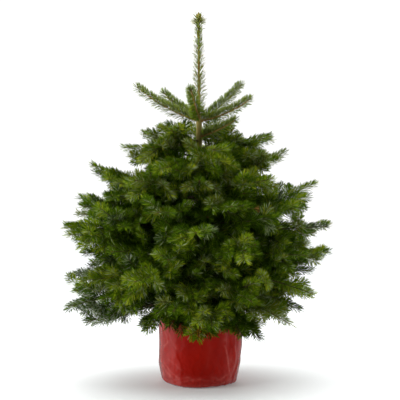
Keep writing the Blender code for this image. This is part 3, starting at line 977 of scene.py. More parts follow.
NEEDLE_COLOURS = (
    ("needles_shaded", (0.026, 0.056, 0.001)),
    ("needles_deep", (0.047, 0.100, 0.002)),
    ("needles_middle", (0.092, 0.170, 0.003)),
    ("needles_fresh", (0.165, 0.258, 0.006)),
    ("needles_yellow", (0.310, 0.365, 0.018)),
    ("needles_blue", (0.056, 0.082, 0.046)),
    ("needles_olive", (0.190, 0.215, 0.014)),
    # A pale silver green: partly the needles' real pale undersides, partly painted sheen
    ("needles_silver_and_sheen", (0.270, 0.330, 0.150)),
    ("needles_bronze", (0.430, 0.340, 0.055)),
    ("needles_dry", (0.270, 0.140, 0.035)),
    ("needles_pale", (0.330, 0.370, 0.270)),
)
SHADED, DEEP, MIDDLE, FRESH, YELLOW, BLUE, OLIVE, SILVER_AND_SHEEN, BRONZE, DRY, PALE = range(11)
UNDERSIDE = len(NEEDLE_COLOURS)
YOUNG_UNDERSIDE = UNDERSIDE + 1
UNDERSIDE_COLOUR = (0.095, 0.150, 0.028)
YOUNG_UNDERSIDE_COLOUR = (0.230, 0.290, 0.070)


def needle_materials():
    """The greens of the upper sides, then the paler undersides."""
    made = []
    undersides = (("needle_undersides", UNDERSIDE_COLOUR), ("young_undersides", YOUNG_UNDERSIDE_COLOUR))
    for name, colour in (*NEEDLE_COLOURS, *undersides):
        material, tree, shader = new_material(name, colour, roughness=0.42)
        add_roughness(tree, shader, add_noise(tree, scale=260.0), low=0.40, high=0.60)
        shader.inputs["Specular IOR Level"].default_value = 0.08
        made.append(material)
    return made


# Each bark and bud scale: its dark, middle and light tone, the light tone's place, and its scale
BARKS = {
    "bark": ((0.060, 0.045, 0.026), (0.150, 0.118, 0.062), (0.270, 0.230, 0.140), 0.68, 60.0),
    "young_bark": ((0.180, 0.140, 0.032), (0.350, 0.285, 0.075), (0.470, 0.400, 0.140), 0.70, 60.0),
    "twig_bark": ((0.040, 0.030, 0.010), (0.078, 0.056, 0.018), (0.130, 0.096, 0.036), 0.70, 140.0),
    "orange_bark": ((0.200, 0.100, 0.022), (0.360, 0.190, 0.045), (0.460, 0.270, 0.085), 0.70, 140.0),
    "leader_bark": ((0.150, 0.130, 0.020), (0.255, 0.205, 0.040), (0.370, 0.310, 0.090), 0.70, 90.0),
    "lower_leader_bark": ((0.200, 0.110, 0.025), (0.340, 0.200, 0.050), (0.440, 0.300, 0.100), 0.70, 90.0),
    "bud_scales": ((0.075, 0.035, 0.012), (0.130, 0.066, 0.022), (0.190, 0.110, 0.040), 0.70, 500.0),
    "fresh_scales": ((0.180, 0.150, 0.028), (0.300, 0.260, 0.055), (0.400, 0.350, 0.090), 0.70, 300.0),
}
DARK_PLACE = 0.30
MIDDLE_PLACE = 0.50
STREAK_STRETCH = (1.0, 1.0, 0.22)
ROUGH_STRETCH = (1.0, 1.0, 0.35)
ROUGH_SCALE = 2.2


def bark_material(name):
    """Young bark: streaks along the stem, mottling, and rough where it is grey."""
    dark, middle, light, light_place, scale = BARKS[name]
    material, tree, shader = new_material(name, middle, roughness=0.8)
    streaks = add_noise(tree, scale, detail=5.0, stretch=STREAK_STRETCH)
    colour = add_ramp(tree, streaks, ((DARK_PLACE, dark), (MIDDLE_PLACE, middle), (light_place, light)))
    tree.links.new(colour, shader.inputs["Base Color"])
    add_roughness(tree, shader, streaks, low=0.9, high=0.62)
    rough = add_noise(tree, scale * ROUGH_SCALE, detail=4.0, stretch=ROUGH_STRETCH)
    add_bump(tree, shader, rough, distance=0.0006)
    return material


FILM_RED = (0.290, 0.0048, 0.0010)
FILM_REDS = ((0.35, (0.255, 0.0040, 0.0008)), (0.65, (0.330, 0.0060, 0.0012)))
# The pale pink of the painted highlights on the film
FILM_HIGHLIGHT = (0.700, 0.170, 0.140, 1.0)
FILM_STRETCH = (1.0, 1.0, 0.6)


def film_material():
    """Glossy red film, mottled, with painted highlights: paler along the streaks that the mesh's points
    carry.
    """
    material, tree, shader = new_material("red_film", FILM_RED, roughness=0.2)
    colour = add_ramp(tree, add_noise(tree, scale=9.0, detail=2.0), FILM_REDS)
    # Painted highlights: the streaks held on the mesh, mottled by noise, mix the red towards pale pink
    streaks = add_node(tree, "ShaderNodeAttribute", attribute_name="painted_highlight").outputs["Fac"]
    spots = add_range(tree, add_noise(tree, scale=60.0), low=0.38, high=1.02)
    mottled = add_node(tree, "ShaderNodeMath", links={0: streaks, 1: spots}, operation="MULTIPLY")
    links = {"Factor": mottled.outputs["Value"], "A": colour}
    blend = add_node(tree, "ShaderNodeMix", {"B": FILM_HIGHLIGHT}, links, data_type="RGBA")
    tree.links.new(blend.outputs["Result"], shader.inputs["Base Color"])
    add_roughness(tree, shader, add_noise(tree, scale=34.0), low=0.06, high=0.12)
    shader.inputs["Specular IOR Level"].default_value = 0.38
    folds = add_noise(tree, scale=45.0, detail=2.0, stretch=FILM_STRETCH)
    add_bump(tree, shader, folds, distance=0.0006, strength=0.5)
    return material


POT_BLACK = (0.012, 0.012, 0.012)
POT_TONES = ((0.4, (0.010, 0.010, 0.010)), (0.75, (0.040, 0.034, 0.026)))
SOIL_BROWN = (0.030, 0.018, 0.010)
SOIL_TONES = ((0.35, (0.014, 0.009, 0.005)), (0.55, (0.040, 0.024, 0.013)), (0.7, (0.090, 0.058, 0.032)))


def plastic_material():
    """Matt black plastic with dust on it, and a fine grain."""
    material, tree, shader = new_material("pot_plastic", POT_BLACK, roughness=0.5)
    dust = add_noise(tree, scale=40.0, detail=5.0)
    tree.links.new(add_ramp(tree, dust, POT_TONES), shader.inputs["Base Color"])
    add_roughness(tree, shader, dust, low=0.42, high=0.72)
    add_bump(tree, shader, add_noise(tree, scale=900.0, detail=2.0), distance=0.0002)
    return material


def soil_material():
    """Moist compost with lighter grains, which are drier and stand up."""
    material, tree, shader = new_material("soil", SOIL_BROWN, roughness=0.95)
    grain = add_noise(tree, scale=220.0, detail=6.0)
    tree.links.new(add_ramp(tree, grain, SOIL_TONES), shader.inputs["Base Color"])
    add_roughness(tree, shader, grain, low=0.98, high=0.80)
    add_bump(tree, shader, grain, distance=0.0015)
    return material


# Trunk and boughs

# The trunk's bark: its rings, and its furrows, blisters and collars
TRUNK_RINGS = 300
TRUNK_SIDES = 32
TRUNK_FIT = 0.97
YOUNG_BARK_HEIGHT = 0.629
TRUNK_RELIEF = 0.00055
YOUNG_RELIEF = 0.35
TRUNK_GIRTH = 1.6
FURROW_SCALE = (2.2, 26.0)
BLISTER_SCALE = (3.6, 130.0)
BLISTER_PLACE = Vector((3.0, 5.0, 0.0))
BLISTER_START = 0.22
BLISTER_RELIEF = 2.2
COLLAR_HEIGHT = 0.0085
COLLAR_DROP = 0.004
COLLAR_RELIEF = 0.0016
COLLAR_AT_BIRTH = 0.5
COLLAR_A_YEAR = 0.1


def trunk_relief(angle, height):
    """The trunk's furrows and blisters, and the collars where the tiers branch."""
    around = Vector((math.cos(angle), math.sin(angle), 0.0)) * TRUNK_GIRTH
    furrows = noise.noise(around * FURROW_SCALE[0] + Vector((0.0, 0.0, height * FURROW_SCALE[1])))
    spot = around * BLISTER_SCALE[0] + BLISTER_PLACE + Vector((0.0, 0.0, height * BLISTER_SCALE[1]))
    blisters = max(noise.noise(spot) - BLISTER_START, 0.0)
    young = YOUNG_RELIEF if height > TOP_TIER_HEIGHT else 1.0
    found = (furrows + BLISTER_RELIEF * blisters) * TRUNK_RELIEF * young
    for tier_height, years, _ in TIERS:
        near = math.exp(-(((height - tier_height + COLLAR_DROP) / COLLAR_HEIGHT) ** 2))
        found += COLLAR_RELIEF * near * (COLLAR_AT_BIRTH + COLLAR_A_YEAR * years)
    return found


def build_trunk(materials):
    """The trunk's bark, whose four materials follow one another up the trunk."""
    along = TRUNK_TIP - TRUNK_FOOT
    path = Path(TRUNK_FOOT, along, Vector((0.0, 1.0, 0.0)), along.length)

    def radius(distance, angle):
        height = TRUNK_FOOT.z + distance
        return trunk_radius(height) * TRUNK_FIT + trunk_relief(angle, height)

    points, quads, caps = tube(path, np.linspace(0.0, path.length, TRUNK_RINGS), TRUNK_SIDES, radius)
    middle = points[quads].mean(axis=1)[:, 2]
    changes = (YOUNG_BARK_HEIGHT, LEADER_FOOT_HEIGHT, LEADER_GREEN_HEIGHT)
    of_quads = sum((middle > change).astype(int) for change in changes)
    slots = [of_quads, np.repeat((0, 2), TRUNK_SIDES)]
    mesh = new_mesh("trunk_bark", points, [quads, caps], slots, smooth=True)
    place("trunk_bark", mesh, materials, "bark", "trunk")


# The boughs: how they swell at the trunk and at each year's node, and how rough they are
JOINT_SWELL = 0.5
JOINT_LENGTH = 0.012
NODE_SWELL = 0.22
NODE_LENGTH = 0.003
BOUGH_RELIEF = 0.00022
BOUGH_SCALE = 1.7
BOUGH_ALONG = 90.0
BOUGHS_APART = 7.0
BOUGH_SIDES = 8
BOUGH_STATION = 0.008
FEWEST_STATIONS = 12
TWIG_SIDES, TWIG_RINGS = 5, 6
FINE_TWIG_SIDES, FINE_TWIG_RINGS = 4, 3


def bough_tube(shoot):
    """A bough from the trunk to its tip, thick at the joint, with a ring at each year's node."""
    length = shoot.path.length

    def radius(distance, angle):
        joint = 1.0 + JOINT_SWELL * math.exp(-distance / JOINT_LENGTH)
        phase = (distance / length * shoot.years + 0.5) % 1.0 - 0.5
        ring = 1.0 + NODE_SWELL * math.exp(-((phase * length / shoot.years / NODE_LENGTH) ** 2))
        spot = Vector((math.cos(angle), math.sin(angle), distance * BOUGH_ALONG))
        rough = noise.noise(spot * BOUGH_SCALE + Vector((shoot.tier * BOUGHS_APART, 0.0, 0.0)))
        return shoot.radius_at(distance / length) * joint * ring + BOUGH_RELIEF * rough

    stations = max(int(length / BOUGH_STATION), FEWEST_STATIONS)
    return tube(shoot.path, np.linspace(0.0, shoot.end, stations), BOUGH_SIDES, radius)


def twig_tube(shoot):
    """A twig, with fewer sides and rings on the finer orders."""
    sides, rings = (TWIG_SIDES, TWIG_RINGS) if shoot.order == 1 else (FINE_TWIG_SIDES, FINE_TWIG_RINGS)
    length = shoot.path.length
    distances = np.linspace(0.0, length, rings)
    return tube(shoot.path, distances, sides, lambda at, _: shoot.radius_at(at / length))


def build_stems(name, shoots, tube_of, oldest_young, materials, *nodes):
    """One piece of many stems. Those up to an age in years are young, with the second material."""
    parts = [tube_of(shoot) for shoot in shoots]
    young = [int(shoot.years <= oldest_young) for shoot in shoots]
    slots = [
        np.concatenate([np.full(len(part[kind]), slot) for part, slot in zip(parts, young)])
        for kind in (1, 2)
    ]
    points, quads, caps = joined(parts)
    mesh = new_mesh(name, points, [quads, caps], slots, smooth=True)
    place(name, mesh, materials, "bark", *nodes)


BUDLESS_CHANCE = 0.82
SIDE_BUD = 0.85
BUD_SINK = 0.001


def build_buds(name, shoots, material, draw):
    """A cluster of buds at the tip of the main shoots, and one at the tip of some others."""
    parts = []
    for shoot in shoots:
        on_leader = shoot.brush >= LEADER_BRUSH
        tip, heading, side, up = shoot.path.frame_at(shoot.path.length if on_leader else shoot.end)
        if shoot.order >= 1 and draw.random() < BUDLESS_CHANCE:
            continue
        grown = LEADER_BUD if on_leader else 1.0
        parts.append(bud(tip, heading, BUD_LENGTH * grown, BUD_RADIUS * grown))
        if shoot.order >= 1:
            continue
        around = (side, -side, up, -up) if on_leader else (side, -side)
        spread = LEADER_BUD_SPREAD if on_leader else BUD_SPREAD
        foot = tip - heading * BUD_SINK
        for away in around:
            out = (heading + away * spread).normalized()
            parts.append(bud(foot, out, BUD_LENGTH * SIDE_BUD * grown, BUD_RADIUS * SIDE_BUD * grown))
    points, quads, caps = joined(parts)
    mesh = new_mesh(name, points, [quads, caps], smooth=True)
    place(name, mesh, [material], "bark")


# Foliage

# The shares of the first seven greens in a part of the crown. The inner greens are darker as painted shade.
SHADED_INNER_GREENS = np.array((0.12, 0.60, 0.22, 0.02, 0.00, 0.04, 0.00))
MIDDLE_GREENS = np.array((0.00, 0.18, 0.48, 0.22, 0.00, 0.07, 0.05))
OUTER_GREENS = np.array((0.00, 0.04, 0.36, 0.38, 0.06, 0.06, 0.10))
LOW_GREENS = np.array((0.00, 0.00, 0.10, 0.42, 0.26, 0.00, 0.22))
HIGH_GREENS = np.array((0.00, 0.00, 0.18, 0.38, 0.10, 0.00, 0.34))
TOP_GREENS = np.array((0.00, 0.00, 0.10, 0.40, 0.30, 0.00, 0.20))
# Painted shade: duller greens for the sprays that face the front
SHADED_FRONT_GREENS = np.array((0.00, 0.06, 0.46, 0.30, 0.04, 0.06, 0.08))
SHADY_GREENS = np.array((0.20, 0.18, 0.10, 0.02, 0.00, 0.50, 0.00))
# Painted light: yellower greens for a lit bough low on the left
LIT_GREENS = np.array((0.00, 0.00, 0.10, 0.44, 0.42, 0.00, 0.04))
SPRAY_GREENS = len(SHADED_INNER_GREENS)

# Boughs with greens of their own: the bearings, tier by tier. The shady boughs carry painted shade, the
# bright ones painted light, and the front ones painted shade.
SHADY_BEARINGS = {5: ((160.0, 174.0),), 6: ((160.0, 176.0), (186.0, 205.0))}
LIT_BEARINGS = {5: ((196.0, 222.0),), 6: ((176.0, 186.0),)}
SHADED_FRONT_BEARINGS = {4: ((220.0, 320.0),)}

# Where the middle and the outer greens start, as shares of the crown's reach, and over how much
GREEN_STARTS = (0.20, 0.65)
MIDDLE_STARTS = (0.38, 0.65)
HIGH_STARTS = (-0.10, 0.48)
LIT_STARTS = (0.10, 0.50)
GREEN_WIDTHS = (0.27, 0.20)
SPRAY_PLACE = 0.7

# What single needles take: the leader's and the star's greens, and for each green a darker and a lighter one
LEADER_GREENS = (MIDDLE, OLIVE, BRONZE, YELLOW, OLIVE, BRONZE)
STAR_GREENS = (BRONZE, BRONZE, BRONZE, YELLOW)
DARKER = np.array((SHADED, SHADED, DEEP, MIDDLE, FRESH, DEEP, MIDDLE, OLIVE))
# The silver tone that many greens lighten to is partly pale underside and partly painted sheen
LIGHTER = np.array((DEEP, MIDDLE, FRESH, YELLOW, SILVER_AND_SHEEN, SILVER_AND_SHEEN, SILVER_AND_SHEEN, SILVER_AND_SHEEN))
DARKER_SHARE = 0.34
LIGHTER_SHARE = 0.20
SILVER_AND_SHEEN_SHARE = 0.07
PALE_SHARE = 0.20
SHADY_DENSITY = 0.66
PALE_BELOW = ("needles_7_back",)


def is_within(shoot, bearings):
    """Whether a shoot's limb leaves the trunk within the bearings that are given for its tier."""
    return any(first < shoot.bearing < last for first, last in bearings.get(shoot.tier, ()))


def outer_greens(shoot):
    """The outer greens of a shoot's part of the crown, and where its middle and outer greens start."""
    if is_within(shoot, LIT_BEARINGS):
        return LIT_GREENS, LIT_STARTS
    if is_within(shoot, SHADY_BEARINGS):
        return SHADY_GREENS, GREEN_STARTS
    if shoot.tier >= LOW_TIER:
        return LOW_GREENS, GREEN_STARTS
    if shoot.tier <= HIGH_TIER:
        return HIGH_GREENS, HIGH_STARTS
    return SHADED_FRONT_GREENS if is_within(shoot, SHADED_FRONT_BEARINGS) else OUTER_GREENS, MIDDLE_STARTS


def colour_of(shoot, draw):
    """The green of a spray's needles: fresh outside, where the new growth is, and darker inside as painted
    shade; yellower at the top and low down.
    """
    if shoot.tier <= YOUNG_TIER:
        return int(draw.choice(SPRAY_GREENS, p=TOP_GREENS))
    out = outer_share(shoot.path.frame_at(shoot.path.length * SPRAY_PLACE)[0])
    outer, starts = outer_greens(shoot)
    weights = SHADED_INNER_GREENS
    for greens, start, width in zip((MIDDLE_GREENS, outer), starts, GREEN_WIDTHS):
        weights = mix(weights, greens, min(max((out - start) / width, 0.0), 1.0))
    return int(draw.choice(SPRAY_GREENS, p=weights / weights.sum()))


def in_dry_spot(points):
    """Which of many points lie in a dry spot in the front half of the crown, seen from the front."""
    scale = VIEW_DISTANCE / (VIEW_DISTANCE + points[:, 1])
    across = points[:, 0] * scale
    height = VIEW_HEIGHT + (points[:, 2] - VIEW_HEIGHT) * scale
    found = np.zeros(len(points), bool)
    for spot_across, spot_height, radius in DRY_SPOTS:
        found |= np.hypot(across - spot_across, height - spot_height) < radius
    return found & (points[:, 1] < 0.0)


def build_needles(groups, materials):
    """One piece of needles for each group of shoots."""
    for name, shoots, nodes, slot_name in groups:
        draw = np.random.default_rng(SEED + len(shoots))
        rows, colours = [], []
        for shoot in shoots:
            a_metre = NEEDLES_A_METRE if shoot.tier > YOUNG_TIER else TOP_NEEDLES_A_METRE
            if shoot.brush >= LEADER_BRUSH:
                a_metre = LEADER_NEEDLES_A_METRE
            shady = is_within(shoot, SHADY_BEARINGS)
            if shady:
                a_metre *= SHADY_DENSITY
            found = needle_rows(shoot, draw, a_metre * shoot.density)
            if found is None:
                continue
            base, away, upper, size, age = found
            own = colour_of(shoot, draw)
            second = own if shoot.tier <= HIGH_TIER else int(DARKER[own])
            older = min(own, DEEP) if shoot.tier > YOUNG_TIER else own
            rows.append((base, away, upper, size))
            if shoot.brush >= LEADER_BRUSH:
                own_greens = STAR_GREENS if shoot.brush > LEADER_BRUSH else LEADER_GREENS
                colours.append(draw.choice(own_greens, len(base)))
                continue
            tones = np.where(age >= 2, older, np.where(age == 1, second, own))
            dealt = draw.random(len(base))
            tones = np.where(dealt < DARKER_SHARE, DARKER[tones], tones)
            tones = np.where(dealt > 1.0 - LIGHTER_SHARE, LIGHTER[tones], tones)
            if shady or own not in (SHADED, DEEP):
                # A share of needles takes the pale undersides on shady boughs, and elsewhere the silver tone,
                # which is partly painted sheen
                light, light_share = (PALE, PALE_SHARE) if shady else (SILVER_AND_SHEEN, SILVER_AND_SHEEN_SHARE)
                tones = np.where(np.abs(dealt - 0.5) < light_share / 2, light, tones)
            middles = base + away * size[:, None] / 2
            tones = np.where(in_dry_spot(middles), DRY, tones)
            colours.append(tones)
        young = shoots[0].tier <= YOUNG_TIER
        width = TOP_NEEDLE_WIDTH if young else NEEDLE_WIDTH
        if shoots[0].brush >= LEADER_BRUSH:
            width = LEADER_NEEDLE_WIDTH
        underside = YOUNG_UNDERSIDE if young else UNDERSIDE if name in PALE_BELOW else None
        mesh = needle_mesh(name, rows, np.concatenate(colours), underside, width)
        place(name, mesh, materials, slot_name, *nodes)
        print(name, len(shoots), "shoots", sum(len(row[0]) for row in rows), "needles")


# Film

FILM_PROFILE = (
    (0.2180, 0.1165),
    (0.1850, 0.1168),
    (0.1500, 0.1166),
    (0.1000, 0.1152),
    (0.0570, 0.1128),
    (0.0280, 0.1090),
    (0.0110, 0.1070),
    (0.0040, 0.1030),
    (0.0000, 0.0950),
)
FILM_SIDES = 288
FILM_ROWS = ((0.0, 0.030, 24), (0.030, 0.218, 84))
FILM_THICKNESS = 0.0006
FILM_FULLNESS = 0.0026
FILM_MEAN_RADIUS = 0.115

# The profile at the foot of the right side, then the slump at the left and the bulge in front
RIGHT_PROFILE = ((0.07, 0.1118), (0.057, 0.1105), (0.027, 0.1048), (0.0015, 0.0990), (0.0, 0.0930))
SLUMP = 0.0030
SLUMP_BEARING = 178.0
SLUMP_HEIGHT = 0.052
SLUMP_REACH = 0.035
FOOT_BULGE = 0.0085
FOOT_BULGE_BEARING = 256.0
FOOT_BULGE_HEIGHT = 0.022
FOOT_BULGE_POWER = 6

# Crumples, each a scale, a place in the noise and a depth, then flat facets, then fine crumples
CRUMPLES = ((2.3, (0.0, 0.0, 0.0), 0.0018), (5.1, (4.0, 1.0, 2.0), 0.0008))
CRUMPLE_ALONG = 9.0
FACET_SCALE = (5.4, 30.0)
FACET_DEPTH = 0.0020
LEAST_FACET_DEPTH = 0.0004
SMOOTH_BEARING = 266.0
SMOOTH_POWER = 8
FINE_SCALE = 11.0
FINE_DEPTH = 0.0004
FOOT_FINE_DEPTH = 0.0034
FOOT_FINE_HEIGHT = 0.03

# The wave of the top edge, and the underside's rings and ripples
FILM_TOP = 0.218
WAVE_FOOT = 0.19
WAVE = 0.004
WAVE_GIRTH = 3
WAVE_PLACE = 9.0
UNDERSIDE_SHARES = (0.985, 0.94, 0.80, 0.5)
RIPPLE = 0.0012
RIPPLE_COUNTS = (13, 7)
RIPPLES_WITHIN = 0.97
FILM_CENTRE = (0.0, 0.0, 0.0004)

# Lines on the film, each its points of (bearing, height), its strength and its width
CREASES = (
    (((227, 0.128), (229, 0.112), (236, 0.088), (242, 0.064), (243, 0.036)), 0.0024, 0.012),
    (((201, 0.011), (207, 0.006)), 0.0035, 0.003),
    (((226, 0.070), (238, 0.056), (246, 0.052)), -0.0011, 0.005),
    (((210, 0.190), (207, 0.150), (215, 0.118), (212, 0.100)), 0.0024, 0.0042),
    (((219, 0.190), (222, 0.160), (219, 0.128)), 0.0014, 0.0040),
    (((222, 0.060), (236, 0.030), (246, 0.016)), 0.0014, 0.006),
    (((300, 0.180), (304, 0.150), (306, 0.100), (315, 0.040)), 0.0020, 0.0028),
    (((318, 0.110), (324, 0.092), (326, 0.060)), 0.0016, 0.0050),
    (((322, 0.190), (323, 0.140), (323, 0.090)), 0.0016, 0.0030),
    (((312, 0.190), (311, 0.150), (313, 0.110)), -0.0022, 0.0060),
    (((334, 0.200), (330, 0.130), (338, 0.060), (330, 0.020)), 0.0016, 0.009),
    (((262, 0.020), (280, 0.030), (296, 0.018)), 0.0010, 0.006),
    (((20, 0.190), (28, 0.110), (18, 0.040)), 0.0018, 0.010),
    (((64, 0.160), (52, 0.090), (66, 0.030)), 0.0016, 0.009),
    (((98, 0.195), (106, 0.120), (92, 0.070)), 0.0018, 0.009),
    (((140, 0.150), (128, 0.080), (144, 0.030)), 0.0017, 0.010),
    (((172, 0.195), (166, 0.120), (178, 0.060), (188, 0.012)), 0.0017, 0.009),
)

# Painted highlights on the film, each its points of (bearing, height), how pale it makes the film, and its
# width
HIGHLIGHT_STREAKS = (
    (((209, 0.176), (211, 0.152), (218, 0.134), (219, 0.118), (213, 0.106)), 0.42, 0.0024),
    (((202, 0.176), (203, 0.140), (201, 0.060), (204, 0.026)), 0.40, 0.0050),
    (((207, 0.052), (212, 0.038), (222, 0.028)), 0.34, 0.0060),
    (((206, 0.012), (226, 0.007), (250, 0.005), (276, 0.008), (300, 0.007), (320, 0.016)), 0.26, 0.0055),
    (((304, 0.112), (307, 0.096), (310, 0.070), (315, 0.041)), 0.62, 0.0017),
    (((323, 0.108), (323, 0.094)), 0.50, 0.0016),
    (((302, 0.166), (305, 0.150), (304, 0.128)), 0.30, 0.0044),
    (((334, 0.170), (336, 0.130), (338, 0.100)), 0.22, 0.0040),
    (((221, 0.150), (226, 0.128), (236, 0.104)), 0.16, 0.0032),
    (((210, 0.062), (222, 0.042), (236, 0.026)), 0.24, 0.0030),
    (((222, 0.072), (236, 0.058), (243, 0.048)), 0.20, 0.0022),
    (((318, 0.070), (330, 0.046), (322, 0.028)), 0.26, 0.0050),
    (((246, 0.018), (268, 0.026), (290, 0.018), (312, 0.030)), 0.20, 0.0034),
    (((232, 0.018), (252, 0.030), (262, 0.022)), 0.18, 0.0030),
    (((286, 0.030), (300, 0.020), (314, 0.034)), 0.20, 0.0032),
    (((276, 0.150), (282, 0.110), (279, 0.060)), 0.06, 0.0060),
)


# A line further off than this, in metres round the film, has no strength
FAR_FROM_LINE = 0.08


def near_lines(lines, bearing, height):
    """The sum of the lines' strengths at a place on the film."""
    found = 0.0
    for line, lift, width in lines:
        nearest = 1.0
        for (b0, h0), (b1, h1) in zip(line, line[1:]):
            x0, x1 = (
                math.radians((b - bearing + 180) % 360 - 180) * FILM_MEAN_RADIUS for b in (b0, b1)
            )
            if max(abs(x0), abs(x1)) > FAR_FROM_LINE:
                continue
            dx, dz = x1 - x0, h1 - h0
            share = -(x0 * dx + (h0 - height) * dz) / (dx * dx + dz * dz)
            share = min(max(share, 0.0), 1.0)
            gap = math.hypot(x0 + dx * share, h0 + dz * share - height)
            nearest = min(nearest, gap)
        found += lift * math.exp(-nearest / width)
    return found


def along_profile(profile, height):
    """The radius at a height of a profile of (height, radius) from the top down."""
    heights, radii = zip(*profile[::-1])
    return float(np.interp(height, heights, radii))


def towards(bearing, middle):
    """1 at a middle bearing, falling to 0 at right angles to it."""
    return max(math.cos(math.radians(bearing - middle)), 0.0)


def film_radius(bearing, height):
    """The film's outer radius: its profile, slump, folds, creases and crumples."""
    base = along_profile(FILM_PROFILE, height)
    near = math.exp(-(((height - SLUMP_HEIGHT) / SLUMP_REACH) ** 2))
    base += SLUMP * near * math.cos(math.radians(bearing - SLUMP_BEARING))
    if height < RIGHT_PROFILE[0][0]:
        base = mix(base, along_profile(RIGHT_PROFILE, height), towards(bearing, 0.0) ** 2)
    angle = math.radians(bearing)
    spot = Vector((math.cos(angle), math.sin(angle), height * CRUMPLE_ALONG))
    crumple = sum(
        abs(noise.noise(spot * scale + Vector(offset))) * depth for scale, offset, depth in CRUMPLES
    )
    facet_spot = Vector((spot.x * FACET_SCALE[0], spot.y * FACET_SCALE[0], height * FACET_SCALE[1]))
    facets = noise.voronoi(facet_spot, distance_metric="DISTANCE")[0][0]
    faceted = 1.0 - towards(bearing, SMOOTH_BEARING) ** SMOOTH_POWER
    crumple += facets * (FACET_DEPTH * faceted + LEAST_FACET_DEPTH)
    low = math.exp(-((height / FOOT_BULGE_HEIGHT) ** 2))
    base += FOOT_BULGE * towards(bearing, FOOT_BULGE_BEARING) ** FOOT_BULGE_POWER * low
    fine_depth = FINE_DEPTH + FOOT_FINE_DEPTH * math.exp(-height / FOOT_FINE_HEIGHT)
    fine = abs(noise.noise(spot * FINE_SCALE)) * fine_depth
    return base + FILM_FULLNESS + near_lines(CREASES, bearing, height) - crumple - fine


def film_ring(height, bearings):
    """The film's points at a height, waving up and down near its top edge."""
    radii = np.array([film_radius(bearing, height) for bearing in bearings])
    angles = np.radians(bearings)
    raised = max(height - WAVE_FOOT, 0.0) / (FILM_TOP - WAVE_FOOT)
    waves = np.array([
        WAVE * noise.noise(Vector((math.cos(a) * WAVE_GIRTH, math.sin(a) * WAVE_GIRTH, WAVE_PLACE)))
        for a in angles
    ])
    return np.stack([np.cos(angles) * radii, np.sin(angles) * radii, height + waves * raised], 1)


def build_film(material):
    """The film's shell, from the middle of its underside out and up to the top edge."""
    (foot, knee, low_count), (_, top, high_count) = FILM_ROWS
    heights = [*np.linspace(foot, knee, low_count)[:-1], *np.linspace(knee, top, high_count)]
    bearings = np.arange(FILM_SIDES) * 360.0 / FILM_SIDES
    rings = [film_ring(height, bearings) for height in heights]
    angle = np.radians(bearings)
    many, few = RIPPLE_COUNTS
    ripples = np.abs(np.sin(angle * many) * np.sin(angle * few + 1)) * RIPPLE
    lowest = rings[0]
    for share in UNDERSIDE_SHARES:
        ring = lowest.copy()
        ring[:, :2] *= share
        ring[:, 2] = ripples * (share < RIPPLES_WITHIN)
        rings.insert(0, ring)
    points = np.concatenate([*rings, [FILM_CENTRE]])
    # Each point's share of the painted highlight streaks
    pale = np.array([
        near_lines(HIGHLIGHT_STREAKS, math.degrees(math.atan2(y, x)) % 360, z) for x, y, z in points
    ])
    quads = ring_quads(len(rings), FILM_SIDES)[:, TURNED_OVER]
    centre = fan(len(rings) * FILM_SIDES, 0, FILM_SIDES, flipped=True)
    mesh = new_mesh("film", points, [quads, centre], smooth=True)
    painted_highlight = mesh.attributes.new("painted_highlight", "FLOAT", "POINT")
    painted_highlight.data.foreach_set("value", pale.astype(np.float32))
    piece = place("film", mesh, [material], "red_film", "film_wrap")
    solidify = piece.modifiers.new("film", "SOLIDIFY")
    solidify.thickness = FILM_THICKNESS
    solidify.offset = -1.0


# Pot and soil

# The pot's section as (radius, height): its rim, the foot of its outer wall, its floor, and its mouth
POT_RIM = (
    (0.1080, 0.2086),
    (0.1086, 0.2090),
    (0.1112, 0.2090),
    (0.1119, 0.2084),
    (0.1120, 0.2068),
    (0.1120, 0.1966),
    (0.1117, 0.1954),
    (0.1100, 0.1950),
    (0.1098, 0.1930),
)
POT_FOOT = (0.0990, 0.0120)
POT_FLOOR = ((0.0935, 0.0018), (0.0020, 0.0016), (0.0020, 0.0034), (0.0917, 0.0034), (0.0972, 0.0138))
POT_MOUTH = (0.1080, 0.2072)
POT_SIDES = 120
WALL_SHARES = np.linspace(0.1, 1.0, 14)


def pot_wall(start, end):
    """The wall from one corner of the section to another, in even steps."""
    return [(mix(start[0], end[0], share), mix(start[1], end[1], share)) for share in WALL_SHARES]


def build_pot(material):
    """The nursery pot: its section, with a rolled rim, turned round the axis."""
    section = [*POT_RIM, *pot_wall(POT_RIM[-1], POT_FOOT), *POT_FLOOR, *pot_wall(POT_FLOOR[-1], POT_MOUTH)]
    turn = np.arange(POT_SIDES) * 2 * math.pi / POT_SIDES
    points = np.concatenate([
        np.stack([np.cos(turn) * radius, np.sin(turn) * radius, np.full(POT_SIDES, height)], 1)
        for radius, height in section[::-1]
    ])
    quads = ring_quads(len(section) + 1, POT_SIDES) % len(points)
    mesh = new_mesh("pot", points, [quads], smooth=True)
    place("pot", mesh, [material], "pot_plastic", "nursery_pot")


